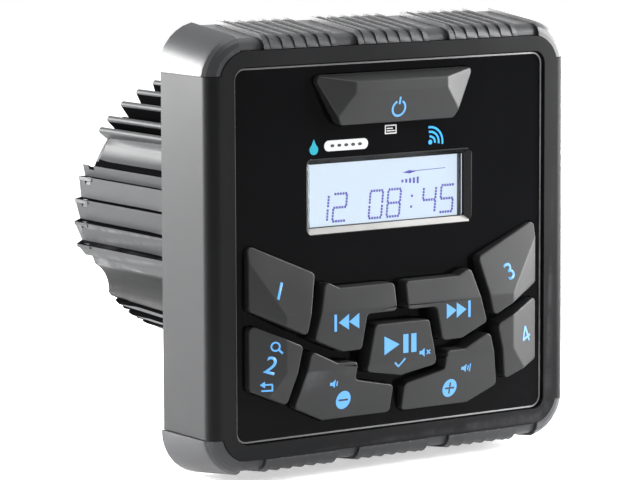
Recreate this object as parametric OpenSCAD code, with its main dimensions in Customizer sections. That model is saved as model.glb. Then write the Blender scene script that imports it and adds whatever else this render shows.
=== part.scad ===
// Square-faced marine stereo for a round instrument hole.
// X runs to the right seen from the front, Y runs into the dash, Z is up.
// The origin is on the axis of the round body, in the rear face of the square front.

/* [Square front] */
// Width over the side walls
front_w = 111; // [104:0.5:120]
// Height over the grips at their front edge
front_h = 110.2; // [104:0.2:120]
// Rise of each grip from its front edge to its rear edge
grip_rise = 2.1; // [1:0.1:3]
// Depth from the rear face to the flat ring
front_d = 22.2; // [21.6:0.1:25]
// Radius of the front edges of the side walls
side_round = 3.4; // [3:0.1:3.6]
// Corner radius over the grips
corner_r = 12; // [11:0.5:14]
// Wall of the frame
frame_wall = 2.5; // [2.3:0.1:2.8]
// Thickness of the frame's back plate
plate_t = 3.2; // [3:0.1:4]
// Radius of the hole in the back plate for the cable between the boards
plate_hole_r = 24; // [20:0.5:26]

/* [Grips] */
// Height of the corner caps over the side walls
cap_raise = 0.7; // [0.4:0.1:1]
// Height of the corner caps over the side walls' ends
cap_h = 10.1; // [9:0.1:13]
// Width of the corner caps beside the ribbed stretch
cap_w = 9.3; // [7.5:0.1:10.5]
// Wall of a grip
grip_wall = 1.9; // [1.7:0.1:2.2]
// Depth of the plain pads below the ribs' crests
pad_drop = 1; // [0.8:0.1:1.1]
// Height of each rib's steep side
rib_h = 0.75; // [0.4:0.05:0.8]
// Distance from rib to rib
rib_pitch = 3.64; // [3.4:0.02:3.7]
// Steep sides in a group of ribs
rib_count = 6; // [3:1:6]
// Width of a rib group
group_w = 21.6; // [21.6:0.1:22.6]
// Width of the plain pad between two rib groups
group_gap = 6.7; // [5.8:0.1:7]
// Width of a snap tab
tab_w = 8; // [5:0.5:10]
// Depth of a snap tab's hold in the frame
tab_hold = 1.6; // [1:0.1:1.8]

/* [Front panel] */
// Width of the flat ring beside the glossy panel
ring_side = 4.15; // [3.7:0.05:4.6]
// Width of the flat ring over and under the panel
ring_top = 3.95; // [3.5:0.05:4.4]
// Thickness of the panel
panel_t = 2.4; // [2.3:0.1:2.8]
// Corner radius of the panel
panel_r = 3; // [2:0.1:4]
// Depth of the panel's face below the flat ring
panel_sink = 1.1; // [0.6:0.1:1.6]
// Width of the ledge behind the panel's edge
ledge_w = 1.4; // [1:0.1:1.5]
// Thickness of the ledge
ledge_t = 2; // [1.6:0.1:2.4]
// Thickness of the panel's seal
seal_t = 0.4; // [0.3:0.05:0.6]
// Radius of the screw posts behind the panel
post_r = 2.8; // [2.6:0.1:3]
// Distance of the corner posts from the panel's edges
post_in = 5.7; // [5.2:0.1:6]

/* [Keys] */
// Height of the flat middle of the key field over the panel
crown_h = 4.7; // [4.3:0.1:5.5]
// Plain strip of the panel beside the keys
key_side = 3; // [2.4:0.1:4]
// Plain strip of the panel under the keys
key_under = 3.75; // [3:0.05:5]
// Half width of the flat middle of the key field
crown_half = 35.4; // [34:0.1:38]
// Top of the flat middle of the key field
crown_top = -15.1; // [-16:0.1:-13]
// Foot of the flat middle of the key field
crown_foot = -29.6; // [-31:0.1:-28]
// Fall of the key field to the sides, in degrees
crown_side_fall = 17.1; // [10:0.1:18]
// Fall of the key field to the top, in degrees
crown_top_fall = 11.6; // [6:0.1:12]
// Fall of the key field to the foot, in degrees
crown_foot_fall = 14; // [8:0.1:15]
// Corner radius of the keys
key_r = 1.2; // [0.8:0.1:1.5]
// Gap round each key in the panel
key_gap = 0.3; // [0.2:0.05:0.4]
// Width of the stop lip round each key behind the panel
lip_w = 0.9; // [0.6:0.05:0.95]
// Thickness of the stop lip
lip_t = 1; // [0.8:0.1:1.2]
// Gap between the stop lip and the panel
lip_gap = 0.3; // [0.2:0.05:0.4]
// Travel of a key
key_travel = 0.6; // [0.4:0.05:0.7]
// Radius of the plunger under each key
plunger_r = 2; // [1.5:0.1:2.5]
// Height of the power key's ridge over the panel
brow_h = 4.8; // [4:0.1:5.5]
// Half length of the power key's ridge
brow_half = 14.25; // [12:0.25:16]
// Plain strip of the panel over the power key
brow_over = 2.75; // [2.2:0.05:3.5]
// Height of the power key
brow_l = 12.7; // [11.5:0.1:13.5]
// Width of the power key's top edge
brow_top_w = 49.6; // [45:0.2:54]
// Width of the power key's foot
brow_foot_w = 34.8; // [31:0.2:40]
// Distance from the power key's top edge to its ridge
ridge_in = 1.75; // [1.4:0.05:2.4]
// Width of the power key's flat ridge
ridge_w = 2.9; // [2:0.1:4]
// Fall of the power key to its foot, in degrees
brow_face_fall = 14.7; // [8:0.1:16]
// Fall of the power key to its sides, in degrees
brow_side_fall = 18.8; // [10:0.1:20]

/* [Display] */
// Middle of the display to the side
display_x = -0.5; // [-1.5:0.1:1]
// Middle of the display upwards
display_z = 13.5; // [13:0.1:14]
// Width of the display surround
surround_w = 51.2; // [49:0.1:52]
// Height of the display surround
surround_h = 19.3; // [18.5:0.1:20]
// Height of the surround's face over the panel
surround_proud = 0.15; // [0.1:0.05:0.4]
// Width of the flat rim round the slope
rim_w = 0.25; // [0.15:0.05:0.5]
// Width of the slope inside the surround
slope_w = 1.35; // [1:0.05:1.6]
// Depth of the slope inside the surround
slope_t = 1.3; // [0.8:0.1:1.4]
// Thickness of the clear window
window_t = 0.7; // [0.5:0.05:0.8]
// Width of the display glass
glass_w = 50; // [48:0.5:51]
// Height of the display glass
glass_h = 20; // [19:0.5:21]
// Thickness of the display glass
glass_t = 2.2; // [1.8:0.1:2.6]
// Thickness of the backlight
light_t = 3; // [2:0.1:3.4]
// Wall of the display holder
holder_wall = 1.6; // [1.2:0.1:1.8]

/* [Front board] */
// Distance from the panel's rear face to the front board
board_drop = 9.1; // [9:0.1:9.6]
// Thickness of both circuit boards
board_t = 1.6; // [1.2:0.1:1.8]
// Thickness of the silicone sheet under the keys
mat_t = 0.8; // [0.6:0.1:1]
// Outer radius of a silicone dome
dome_r = 4.2; // [4:0.1:4.4]
// Width of a tact switch
switch_w = 4.2; // [3.8:0.1:4.3]
// Height of a tact switch with its stem
switch_h = 3.6; // [3.2:0.1:3.8]

/* [Round housing] */
// Radius of the plain spigot that goes into the round hole
spigot_r = 37.8; // [34.2:0.1:41]
// Length of the spigot
spigot_l = 2.6; // [2:0.1:3]
// Length of the round housing
body_l = 74; // [67:0.5:90]
// Depth of the fins' and ridges' tips below the spigot
tip_in = 0.2; // [0.1:0.1:0.8]
// Depth of the cone's front below the spigot
cone_front_in = 0.9; // [0.8:0.1:1.4]
// Depth of the cone's rear below the spigot
cone_rear_in = 3.2; // [2.8:0.1:3.6]
// Wall between the spigot's outside and the space inside
body_wall = 10.3; // [10:0.1:10.6]
// Width of the ledge under the rear cover
seat_w = 2.5; // [2.3:0.1:2.9]
// Depth of the rear recess down to the cover's seat
cover_sink = 8.5; // [7:0.1:9]
// Depth of the gaps between the deep fins below the spigot
gap_in = 6.1; // [5.3:0.1:6.3]
// Thickness of a deep fin
fin_t = 1.8; // [1.4:0.1:2.2]
// Depth of the lower fins' rear ends below the spigot
low_tip_in = 3.4; // [2.8:0.1:3.5]
// Angle from fin to fin
fin_step = 9; // [8.8:0.1:9.1]
// Deep fins at the top and again at the foot
fin_count = 11; // [5:2:11]
// Width of the low rib between two fins
low_rib_w = 2.2; // [1.6:0.1:2.4]
// Height of the low rib over the floor of the gap
low_rib_h = 2.6; // [1.6:0.1:3]
// Angle from side ridge to side ridge
ridge_step = 9.4; // [9:0.1:9.6]
// Height of a side ridge's step
ridge_h = 1.9; // [1.2:0.1:2.2]
// Ridges on each side
ridge_count = 4; // [2:1:4]
// Angle of the four flutes from the level
flute_angle = 30; // [29.5:0.1:30.5]
// Radius of an upper flute
flute_r = 5.8; // [5:0.1:6.5]
// Depth of an upper flute under the fins' tips
flute_deep = 3.4; // [3:0.1:4]
// Radius of a lower flute
low_flute_r = 8; // [7:0.1:8.5]
// Depth of a lower flute under the fins' tips
low_flute_deep = 5.2; // [4:0.1:5.3]
// Length of the step at the rear of the cone
step_l = 2.3; // [1.5:0.1:3]
// Depth of the step at the rear of the cone
step_deep = 0.8; // [0.4:0.1:1]

/* [Rear cover] */
// Thickness of the rear cover
cover_t = 3.5; // [3:0.1:4]
// Radius of the harness gland's bore
harness_bore_r = 4.5; // [3.5:0.1:4.8]
// Radius of the auxiliary gland's bore
aux_bore_r = 2.8; // [2:0.1:3]
// Radius of the antenna socket's bore
antenna_bore_r = 4.7; // [4.5:0.05:4.8]
// Depth of the antenna socket's bore
antenna_bore_l = 12; // [9:0.5:12]
// Radius of the two bracket studs
stud_r = 2.5; // [2:0.1:2.6]
// Distance of the bracket studs' axes from the wall of the space inside
stud_in = 8.5; // [8:0.1:9]
// Length of a stud outside the cover
stud_out = 19; // [14:0.5:24]
// Distance of the cover screws' axes from the wall of the space inside
cover_screw_in = 2.5; // [2.3:0.1:2.6]

/* [Main board] */
// Gap between the main board's long edges and the wall of the space inside
main_side = 2; // [1.7:0.1:2.6]
// Gap between the main board's rear end and the rear cover
main_rear = 3.5; // [3.2:0.1:6]
// Height of the main board's upper face
main_z = -6; // [-7:0.1:-5.5]
// Height of the guide rails over and under the board
rail_h = 1.9; // [1.5:0.1:2.2]
// Height of the amplifier chip's body
amp_h = 13; // [11:0.5:13]
// Thickness of the amplifier chip
amp_t = 4.2; // [3.5:0.1:4.4]
// Length of the amplifier chip
amp_l = 28; // [24:0.5:29]
// Thickness of the thermal pad
pad_t = 0.5; // [0.4:0.1:1]
// Radius of a filter capacitor
capacitor_r = 4.4; // [3.5:0.1:4.6]
// Height of a filter capacitor
capacitor_h = 16; // [10:0.5:17]

/* [Fits] */
// Gap between parts that are put together
fit = 0.15; // [0.1:0.01:0.2]
// Radius of the thread of the larger screws
screw_r = 1.5; // [1.3:0.05:1.6]
// Radius of the thread of the small screws
small_screw_r = 1; // [0.8:0.05:1.1]
// Gap between a screw's thread and its hole
screw_gap = 0.1; // [0.08:0.01:0.15]

/* [Hidden] */
$fn = 64;
hull_fn = 8;

// Outlines of the square front
half_w = front_w / 2;
ring_hw = half_w - side_round;
grip_round = side_round + cap_raise;
ring_hh = front_h / 2 - grip_round;
rear_hh = front_h / 2 + grip_rise;
side_show = front_h / 2 - cap_h;
rib_half = front_w / 2 - cap_w;
group_pitch = group_w + group_gap;
ring_r = corner_r - grip_round;
env_hw = half_w + cap_raise;
side_y = side_round - front_d;
grip_front = 0.2 - front_d;
grip_y = grip_front + grip_round;
panel_y = panel_sink - front_d;
panel_back = panel_y + panel_t;
seat_y = panel_back + seal_t;
panel_gap = 0.3;
seat_hw = ring_hw - ring_side;
seat_hh = ring_hh - ring_top;
panel_hw = seat_hw - panel_gap;
panel_hh = seat_hh - panel_gap;
ledge_back = seat_y + ledge_t;
plate_hw = env_hw - grip_wall - fit;
plate_hh = rear_hh - grip_wall - 2 * fit;
plate_r = corner_r - grip_wall;
tab_y = [-12, -9];
tab_gap = 0.2;

// Depths behind the panel
board_front = panel_back + board_drop;
board_back = board_front + board_t;
board_in = 3.2;
board_hw = panel_hw - board_in;
board_hh = panel_hh - board_in;
post_gap = 0.2;
head_t = 1.8;
head_r = 2.8;
head_sink = 2.4;
small_head_r = 2;
small_head_t = 1.4;
thread_in = 6;

// Depths of the display's parts
surround_y = panel_y - surround_proud;
flange_w = 1;
flange_t = 0.4;
opening_gap = 0.1;
surround_back = panel_back + flange_t;
mouth_w = surround_w - 2 * rim_w;
mouth_h = surround_h - 2 * rim_w;
window_w = mouth_w - 2 * slope_w;
window_h = mouth_h - 2 * slope_w;
window_lap = 0.4;
window_back = panel_back - 0.05;
glass_y = surround_back + 0.1;
light_y = glass_y + glass_t + fit;
light_back = light_y + light_t + fit;
pocket_w = glass_w + 2 * fit;
pocket_h = glass_h + 2 * fit;
holder_w = pocket_w + 2 * holder_wall;
holder_h = pocket_h + 2 * holder_wall;
holder_y = glass_y + 0.4;
holder_gap = 0.4;

// Depths of the keys and of what lies under them
lip_y = panel_back + lip_gap;
lip_back = lip_y + lip_t;
plunger_l = 1.6;
plunger_end = lip_back + plunger_l;
nub_gap = 0.15;
nub_y = plunger_end + key_travel + nub_gap;
dome_gap = 0.3;
dome_inner_y = board_front - switch_h - dome_gap;
dome_y = dome_inner_y - mat_t;
dome_inner_r = dome_r - mat_t;
stem_r = 1.2;
stem_l = 1;
mat_y = board_front - mat_t;
mat_edge = 1;
mat_corner_r = 2;

// Outlines of the keys on the right, each anticlockwise; the left ones mirror them.
// They are drawn for this half width and height and stretched onto the panel
drawn_hw = 44.65;
drawn_hh = 43;
drawn_outer_upper = [[25.4, -5.2], [29.1, -20.6], [drawn_hw, -13.3], [drawn_hw, 3.2]];
drawn_outer_lower = [[30.3, -22.9], [34, -37.9], [drawn_hw, -33.4], [drawn_hw, -16.7]];
drawn_upper_arm = [[1.7, -9.3], [1.7, -16.5], [10.8, -16.5], [12.6, -25.4], [18.6, -25.4],
    [26.9, -21.8], [22.6, -7.4], [18.6, -9.3]];
drawn_middle = [[-8.4, -19.5], [-10.95, -31.4], [0, -33.3], [10.95, -31.4], [8.4, -19.5]];
drawn_lower_arm = [[1.75, -35.7], [1.75, -drawn_hh], [22.6, -drawn_hh], [31.6, -38.9],
    [27.8, -24.4], [19.8, -28.2], [13.8, -28.2], [14, -33.1]];
drawn_outer_upper_at = [36, -9.5];
drawn_outer_lower_at = [38.7, -28];
drawn_upper_arm_at = [18, -17.5];
drawn_middle_at = [0, -26];
drawn_lower_arm_at = [19.5, -36.3];
stretch = [(panel_hw - key_side) / drawn_hw, (panel_hh - key_under) / drawn_hh];
function laid(p) = [p[0] * stretch[0], p[1] * stretch[1]];
function laid_all(points) = [for (p = points) laid(p)];
outer_upper = laid_all(drawn_outer_upper);
outer_lower = laid_all(drawn_outer_lower);
upper_arm = laid_all(drawn_upper_arm);
middle = laid_all(drawn_middle);
lower_arm = laid_all(drawn_lower_arm);
crown_hw = crown_half * stretch[0];
crown_low = crown_foot * stretch[1];
crown_high = crown_top * stretch[1];
brow_top = panel_hh - brow_over;
brow_foot = brow_top - brow_l;
brow = [[-brow_top_w / 2, brow_top], [-brow_foot_w / 2, brow_foot],
    [brow_foot_w / 2, brow_foot], [brow_top_w / 2, brow_top]];
display_at = laid([display_x, display_z]);

// Where each key presses: the middle of its dome
outer_upper_at = laid(drawn_outer_upper_at);
outer_lower_at = laid(drawn_outer_lower_at);
upper_arm_at = laid(drawn_upper_arm_at);
middle_at = laid(drawn_middle_at);
lower_arm_at = laid(drawn_lower_arm_at);
brow_press = 5.2;
brow_at = [0, brow_foot + brow_press];
press_points = concat([brow_at, middle_at],
    [for (p = [outer_upper_at, outer_lower_at, upper_arm_at, lower_arm_at])
        each [p, [-p[0], p[1]]]]);
light_shift = 6.6;
light_hole_r = 1.6;
light_size = [2.2, 1.2, 1.4];
light_points = [for (p = press_points) [p[0] + (p[0] > 0 ? -light_shift : light_shift), p[1]]];
corner_posts = [for (x = [-1, 1], z = [-1, 1]) [x * (panel_hw - post_in), z * (panel_hh - post_in)]];
side_post_out = 5.75;
side_posts = [for (x = [-1, 1]) [display_at[0] + x * (holder_w / 2 + side_post_out),
    display_at[1]]];

// Round housing
cover_y = body_l - cover_sink;
cover_back = cover_y + cover_t;
tip_r = spigot_r - tip_in;
cone_front_r = spigot_r - cone_front_in;
cone_rear_r = spigot_r - cone_rear_in;
gap_floor_r = spigot_r - gap_in;
bore_r = spigot_r - body_wall;
cover_seat_r = bore_r + seat_w;
gap_y = spigot_l + 2;
low_tip_r = spigot_r - low_tip_in;
flute_at = tip_r - flute_deep + flute_r;
flute_angles = [flute_angle, 180 - flute_angle];
low_flute_at = tip_r - low_flute_deep + low_flute_r;
low_flute_angles = [180 + flute_angle, -flute_angle];
fin_half = fin_count * fin_step / 2;
border_fin = fin_half + 1.6;
ridge_root_r = tip_r - ridge_h;
ridge_last = 191;
ridge_first = ridge_last - (ridge_count - 1) * ridge_step;
strip_start = ridge_first - 5.4;
ridge_tips = concat([strip_start], [for (i = [0:ridge_count - 1]) ridge_first + i * ridge_step]);
ridge_lead = 0.9;
ridge_head_t = 0.9;
ridge_head_l = 6.6;
ridge_head_in = 0.05;
rear_groove_r = tip_r - 0.8;
rear_groove_w = 2.6;
rear_groove_back = body_l - 3;
ridge_foot = ridge_last + 6;
body_screw_in = 5.2;
body_screw_at = spigot_r - body_screw_in;
body_screw_angles = [12, 168, 192, 348];
screw_in = 9;
seal_groove_w = 1.5;
seal_groove_t = 1.2;
seal_groove_in = spigot_r - seal_groove_w - 1.5;
gasket_out = 3.7;
gasket_in = spigot_r + gasket_out;
gasket_w = 5;
gasket_t = 1;
cover_screw_angles = [60, 120, 240, 300];
boss_r = 3;
boss_l = 12;
cover_screw_at = bore_r - cover_screw_in;
cover_seal_w = 1.1;
cover_seal_t = 0.8;
cover_seal_in = cover_seat_r - cover_seal_w - 0.6;
drawn_bore_r = 27.5;
cover_stretch = bore_r / drawn_bore_r;
harness_at = cover_stretch * [-8.5, -9];
aux_at = cover_stretch * [10, -10];
antenna_at = cover_stretch * [0, 13];
stud_span = 2 * (bore_r - stud_in);
gland_wall = 2.2;
gland_lip = 1;
gland_lip_t = 2;
gland_out = 3;
socket_wall = 1.3;
socket_lip = 1.6;
nut_wall = 2;
nut_t = 3.2;
stud_head_r = 3.8;
stud_head_t = 2.4;
stud_neck_r = stud_r + 0.5;

// Main board
main_y = 5;
main_w = 2 * (bore_r - main_side);
main_back = cover_y - main_rear;
main_l = main_back - main_y;
main_foot = main_z - board_t;
rail_lap = 1.9;
rail_gap = 0.1;
connector_hw = 11;
connector_h = 3.4;
connector_t = 4;
cable_hw = 9;
cable_t = 0.4;
amp_in = 8.3;
amp_x = main_w / 2 - amp_in;
amp_ahead = 17;
amp_y = main_y + amp_ahead;
leads_h = 4;
heat_x = amp_x + amp_t + pad_t;
amp_top = main_z + leads_h + amp_h;
clamp_z = amp_top + 2.6;
clamp_t = 0.9;
clamp_y = amp_y + amp_l / 2;
capacitor_x = 8.5 - main_w / 2;
capacitor_ahead = 9;
capacitor_pitch = (main_l - 21) / 3;
coil_tube_r = 2.2;
coil_r = 4.6;
coil_at = [9.5 - main_w / 2, main_back - 10];
tuner_size = [16, 18, 7.5];
tuner_at = [-4, main_back - 28];
wireless_size = [14, 11, 2.4];
wireless_at = [-6, main_y + 6];
signal_size = [12, 9, 1.8];
signal_at = [-5, main_y + 18.5];
header_size = [10, 7, 9];
header_at = [-header_size[0] / 2, main_back - 1 - header_size[1]];
processor_size = [14, 14, 1.4];
processor_at = [-30, -30];
front_connector_w = 4;
guide_stop_t = 2;
guide_stop_gap = 0.2;

// Helpers: directions and outlines
function unit(v) = v / norm(v);
function outward(a, b) = unit([b[1] - a[1], a[0] - b[0]]);
function arc(c, r, a0, sweep, n) = [for (i = [0:n])
    c + r * [cos(a0 + sweep * i / n), sin(a0 + sweep * i / n)]];
function before(p, i) = p[(i + len(p) - 1) % len(p)];
function after(p, i) = p[(i + 1) % len(p)];
function grow(p, d) = [for (i = [0:len(p) - 1])
    let (m = outward(before(p, i), p[i]), n = outward(p[i], after(p, i)))
    p[i] + d * (m + n) / (1 + m * n)];
function corner(a, b, c, r, n) =
    let (u = unit(a - b), v = unit(c - b), half = acos(u * v) / 2)
    let (m = b + unit(u + v) * r / sin(half), reach = r / tan(half))
    let (s = b + u * reach - m, e = b + v * reach - m)
    let (a0 = atan2(s[1], s[0]), sweep = (atan2(e[1], e[0]) - a0 + 540) % 360 - 180)
    arc(m, r, a0, sweep, n);
function rounded(p, r, n = 5) = [for (i = [0:len(p) - 1])
    each corner(before(p, i), p[i], after(p, i), r, n)];
function box_points(hw, hh, r, n) = rounded([[-hw, -hh], [hw, -hh], [hw, hh], [-hw, hh]], r, n);
function polar(r, a) = [r * cos(a), r * sin(a)];

// Helpers: solids along the depth, across, upright or turned
module along(y0, y1) {
    translate([0, y1, 0]) rotate([90, 0, 0]) linear_extrude(height = y1 - y0) children();
}
module across(x0, x1) {
    translate([x0, 0, 0]) rotate([90, 0, 90]) linear_extrude(height = x1 - x0) children();
}
module upright(z0, z1) {
    translate([0, 0, z0]) linear_extrude(height = z1 - z0) children();
}
module turned(points) {
    rotate([-90, 0, 0]) rotate_extrude($fn = 96) polygon(points);
}
module rod(at, r, y0, y1) {
    along(y0, y1) translate(at) circle(r = r);
}
module tube(at, r, hole_r, y0, y1) {
    along(y0, y1) translate(at) difference() {
        circle(r = r);
        circle(r = hole_r);
    }
}
module block(x, y, z) {
    translate([x[0], y[0], z[0]]) cube([x[1] - x[0], y[1] - y[0], z[1] - z[0]]);
}
module plate(hw, hh, r) {
    if (r > 0) {
        square([2 * hw, 2 * (hh - r)], center = true);
        square([2 * (hw - r), 2 * hh], center = true);
        for (x = [-1, 1], z = [-1, 1]) translate([x * (hw - r), z * (hh - r)]) circle(r = r);
    } else {
        square([2 * hw, 2 * hh], center = true);
    }
}
module both_sides() {
    children();
    mirror([1, 0, 0]) children();
}
module screw(at, r, head, head_h, y, length) {
    rod(at, head, y, y + head_h);
    rod(at, r, y - length, y + 0.1);
}

// Square front
module side_profile() {
    translate([-half_w, side_y]) square([front_w, -side_y]);
    translate([-ring_hw, -front_d]) square([2 * ring_hw, front_d]);
    for (x = [-1, 1]) translate([x * ring_hw, side_y]) circle(r = side_round);
}
module tabs(gap, reach) {
    for (i = [-1:1]) block([i * group_pitch - tab_w / 2 - gap, i * group_pitch + tab_w / 2 + gap],
        [tab_y[0] - gap, tab_y[1] + gap], [ring_hh - tab_hold - gap, reach]);
}
module bezel_frame() {
    color("#3a3b3d") difference() {
        union() {
            difference() {
                union() {
                    upright(-side_show, side_show) side_profile();
                    along(-front_d, 0) plate(ring_hw, ring_hh, ring_r);
                    along(-plate_t, 0) plate(plate_hw, plate_hh, plate_r);
                }
                along(-front_d - 1, seat_y) plate(seat_hw, seat_hh, panel_r + panel_gap);
                along(seat_y - 1, ledge_back + 1)
                    plate(seat_hw - ledge_w, seat_hh - ledge_w, panel_r);
                along(ledge_back, -plate_t)
                    plate(ring_hw - frame_wall, ring_hh - frame_wall, ring_r - frame_wall);
                block([frame_wall - half_w, half_w - frame_wall], [ledge_back, -plate_t],
                    [frame_wall - side_show, side_show - frame_wall]);
            }
            for (p = corner_posts) rod(p, head_r + 0.8, board_back, -plate_t / 2);
        }
        for (p = corner_posts) {
            rod(p, screw_r + screw_gap, board_back - 1, 1);
            rod(p, head_r + post_gap, -head_sink, 1);
        }
        rod([0, 0], plate_hole_r, -plate_t - 1, 1);
        for (a = body_screw_angles)
            rod(polar(body_screw_at, a), screw_r + screw_gap, -plate_t - 1, 1);
        tube([0, 0], gasket_in + gasket_w + fit, gasket_in - fit, -gasket_t, 1);
        tabs(tab_gap, ring_hh + 1);
        rotate([0, 180, 0]) tabs(tab_gap, ring_hh + 1);
    }
}

// Grips: the outside falls to the front and rolls over onto the flat ring
function env_hh(y) = rear_hh - grip_rise * y / grip_y;

module grip_profile(drop) {
    low = side_show - 1;
    polygon([[0, low], [0, env_hh(0) - drop], [grip_y, env_hh(grip_y) - drop], [grip_y, low]]);
    translate([grip_front + drop, low]) square([grip_round - drop, ring_hh - low]);
    translate([grip_y, ring_hh]) circle(r = grip_round - drop);
}
module corner_block() {
    hull() {
        for (y = [-0.01, grip_y]) along(y, y + 0.01)
            polygon(box_points(env_hw, env_hh(y), corner_r, hull_fn));
        for (a = [18:18:90]) {
            inset = grip_round * (1 - cos(a));
            y = grip_y - grip_round * sin(a);
            along(y, y + 0.01) polygon(box_points(env_hw - inset, env_hh(grip_y) - inset,
                corner_r - inset, hull_fn));
        }
    }
}
module tooth(x, w) {
    pivot = ring_hh + grip_round;
    intersection() {
        block([x, x + w], [-front_d, 0], [side_show, 2 * rear_hh]);
        translate([x, 0, pivot]) rotate([0, atan(rib_h / rib_pitch), 0])
            translate([0, 0, -pivot]) across(-4, w + 4) grip_profile(0);
    }
}
module rib_group(c) {
    first = c + 0.2 - (rib_count - 1) * rib_pitch / 2;
    last = first + (rib_count - 1) * rib_pitch;
    start = c - group_w / 2;
    tooth(start, first - start);
    for (i = [0:rib_count - 2]) tooth(first + i * rib_pitch, rib_pitch);
    tooth(last, start + group_w - last);
}
module grip() {
    difference() {
        union() {
            across(-rib_half - 1, rib_half + 1) grip_profile(pad_drop);
            for (i = [-1:1]) rib_group(i * group_pitch);
            difference() {
                corner_block();
                block([-rib_half, rib_half], [-front_d - 1, 1], [-2 * rear_hh, 2 * rear_hh]);
            }
        }
        along(-front_d - 1, 1) plate(ring_hw + fit, ring_hh + fit, ring_r + fit);
        along(-plate_t - fit, 1) plate(plate_hw + fit, plate_hh + fit, plate_r + fit);
        along(grip_y + 1, -plate_t) plate(env_hw - grip_wall, env_hh(grip_y) - grip_wall - 0.3,
            corner_r - grip_wall);
        block([-env_hw - 1, env_hw + 1], [-front_d - 1, 1], [-2 * rear_hh, side_show + fit]);
    }
    tabs(0, env_hh(grip_y) - grip_wall);
}
module top_grip() {
    color("#4a4b4d") grip();
}
module bottom_grip() {
    color("#4a4b4d") rotate([0, 180, 0]) grip();
}

// Front panel
module opening(points) {
    along(panel_y - 1, panel_back + 1) polygon(rounded(grow(points, key_gap), key_r + key_gap));
}
module front_panel() {
    color("#0e0e10") difference() {
        union() {
            along(panel_y, panel_back) plate(panel_hw, panel_hh, panel_r);
            for (p = concat(corner_posts, side_posts)) rod(p, post_r, panel_back - 0.5, board_front);
        }
        both_sides() {
            for (k = [outer_upper, outer_lower, upper_arm, lower_arm]) opening(k);
        }
        opening(middle);
        opening(brow);
        at_display() along(panel_y - 1, panel_back + 1)
            plate(surround_w / 2 + opening_gap, surround_h / 2 + opening_gap, 2);
        for (p = corner_posts) rod(p, screw_r + screw_gap, board_front - thread_in - 0.8,
            board_front + 1);
        for (p = side_posts) rod(p, small_screw_r + screw_gap, board_front - thread_in - 0.4,
            board_front + 1);
    }
}
module panel_seal() {
    color("#1a1a1a") along(panel_back, seat_y) difference() {
        plate(panel_hw, panel_hh, panel_r);
        plate(seat_hw - ledge_w + fit, seat_hh - ledge_w + fit, panel_r);
    }
}

// Display
module at_display() {
    translate([display_at[0], 0, display_at[1]]) children();
}
module display_surround() {
    slope_y = surround_y + slope_t;
    color("#2b2c2e") at_display() difference() {
        union() {
            along(surround_y, surround_back) plate(surround_w / 2, surround_h / 2, 2);
            along(panel_back, surround_back)
                plate(surround_w / 2 + flange_w, surround_h / 2 + flange_w, 2);
        }
        intersection() {
            across(-surround_w, surround_w) polygon([[surround_y - 1, -mouth_h],
                [surround_y - 1, mouth_h], [surround_y, mouth_h / 2], [slope_y, window_h / 2],
                [surround_back + 1, window_h / 2], [surround_back + 1, -window_h / 2],
                [slope_y, -window_h / 2], [surround_y, -mouth_h / 2]]);
            upright(-surround_h, surround_h) polygon([[-mouth_w, surround_y - 1],
                [mouth_w, surround_y - 1], [mouth_w / 2, surround_y], [window_w / 2, slope_y],
                [window_w / 2, surround_back + 1], [-window_w / 2, surround_back + 1],
                [-window_w / 2, slope_y], [-mouth_w / 2, surround_y]]);
        }
        along(window_back - window_t - fit, surround_back + 1)
            plate(window_w / 2 + window_lap, window_h / 2 + window_lap, 1);
    }
}
module display_window() {
    color([0.7, 0.75, 0.8, 0.4]) at_display() along(window_back - window_t, window_back)
        plate(window_w / 2 + window_lap - fit, window_h / 2 + window_lap - fit, 1 - fit);
}
module lcd_glass() {
    color("#dfe6f5") at_display() along(glass_y, glass_y + glass_t)
        plate(glass_w / 2, glass_h / 2, 0);
}
module backlight() {
    color("#f4f6fb") at_display() along(light_y, light_y + light_t)
        plate(glass_w / 2, glass_h / 2, 0);
}
module lcd_holder() {
    color("#e8e8e4") at_display() difference() {
        along(holder_y, board_front) plate(holder_w / 2, holder_h / 2, 1);
        along(holder_y - 1, light_back) plate(pocket_w / 2, pocket_h / 2, 0);
        along(light_back - 1, board_front + 1) plate(pocket_w / 2 - 3, pocket_h / 2 - 3, 1);
    }
}

// Keys
module crown() {
    top = panel_y - crown_h;
    end = display_at[1];
    side_edge = top + (panel_hw - crown_hw) * tan(crown_side_fall);
    foot_edge = top + (panel_hh + crown_low) * tan(crown_foot_fall);
    end_edge = top + (end - crown_high) * tan(crown_top_fall);
    intersection() {
        upright(-panel_hh, end) polygon([[-panel_hw, lip_back], [-panel_hw, side_edge],
            [-crown_hw, top], [crown_hw, top], [panel_hw, side_edge], [panel_hw, lip_back]]);
        across(-panel_hw, panel_hw) polygon([[lip_back, -panel_hh], [foot_edge, -panel_hh],
            [top, crown_low], [top, crown_high], [end_edge, end], [lip_back, end]]);
    }
}
module brow_roof() {
    top = panel_y - brow_h;
    half = brow_top_w / 2 + 1;
    low = brow_foot - 1;
    side_edge = top + (half - brow_half) * tan(brow_side_fall);
    ridge = brow_top - ridge_in;
    foot_edge = top + (ridge - ridge_w - low) * tan(brow_face_fall);
    intersection() {
        upright(low, panel_hh) polygon([[-half, lip_back], [-half, side_edge], [-brow_half, top],
            [brow_half, top], [half, side_edge], [half, lip_back]]);
        across(-half, half) polygon([[lip_back, low], [foot_edge, low], [top, ridge - ridge_w],
            [top, ridge], [panel_y - 1, brow_top + 0.1], [lip_back, brow_top + 0.1]]);
    }
}
module key_foot(points, at) {
    along(lip_y, lip_back) polygon(rounded(grow(points, lip_w), key_r + lip_w));
    rod(at, plunger_r, lip_y, plunger_end);
}
module key(points, at) {
    intersection() {
        along(panel_y - crown_h - 1, lip_back) polygon(rounded(points, key_r));
        crown();
    }
    key_foot(points, at);
}
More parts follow.
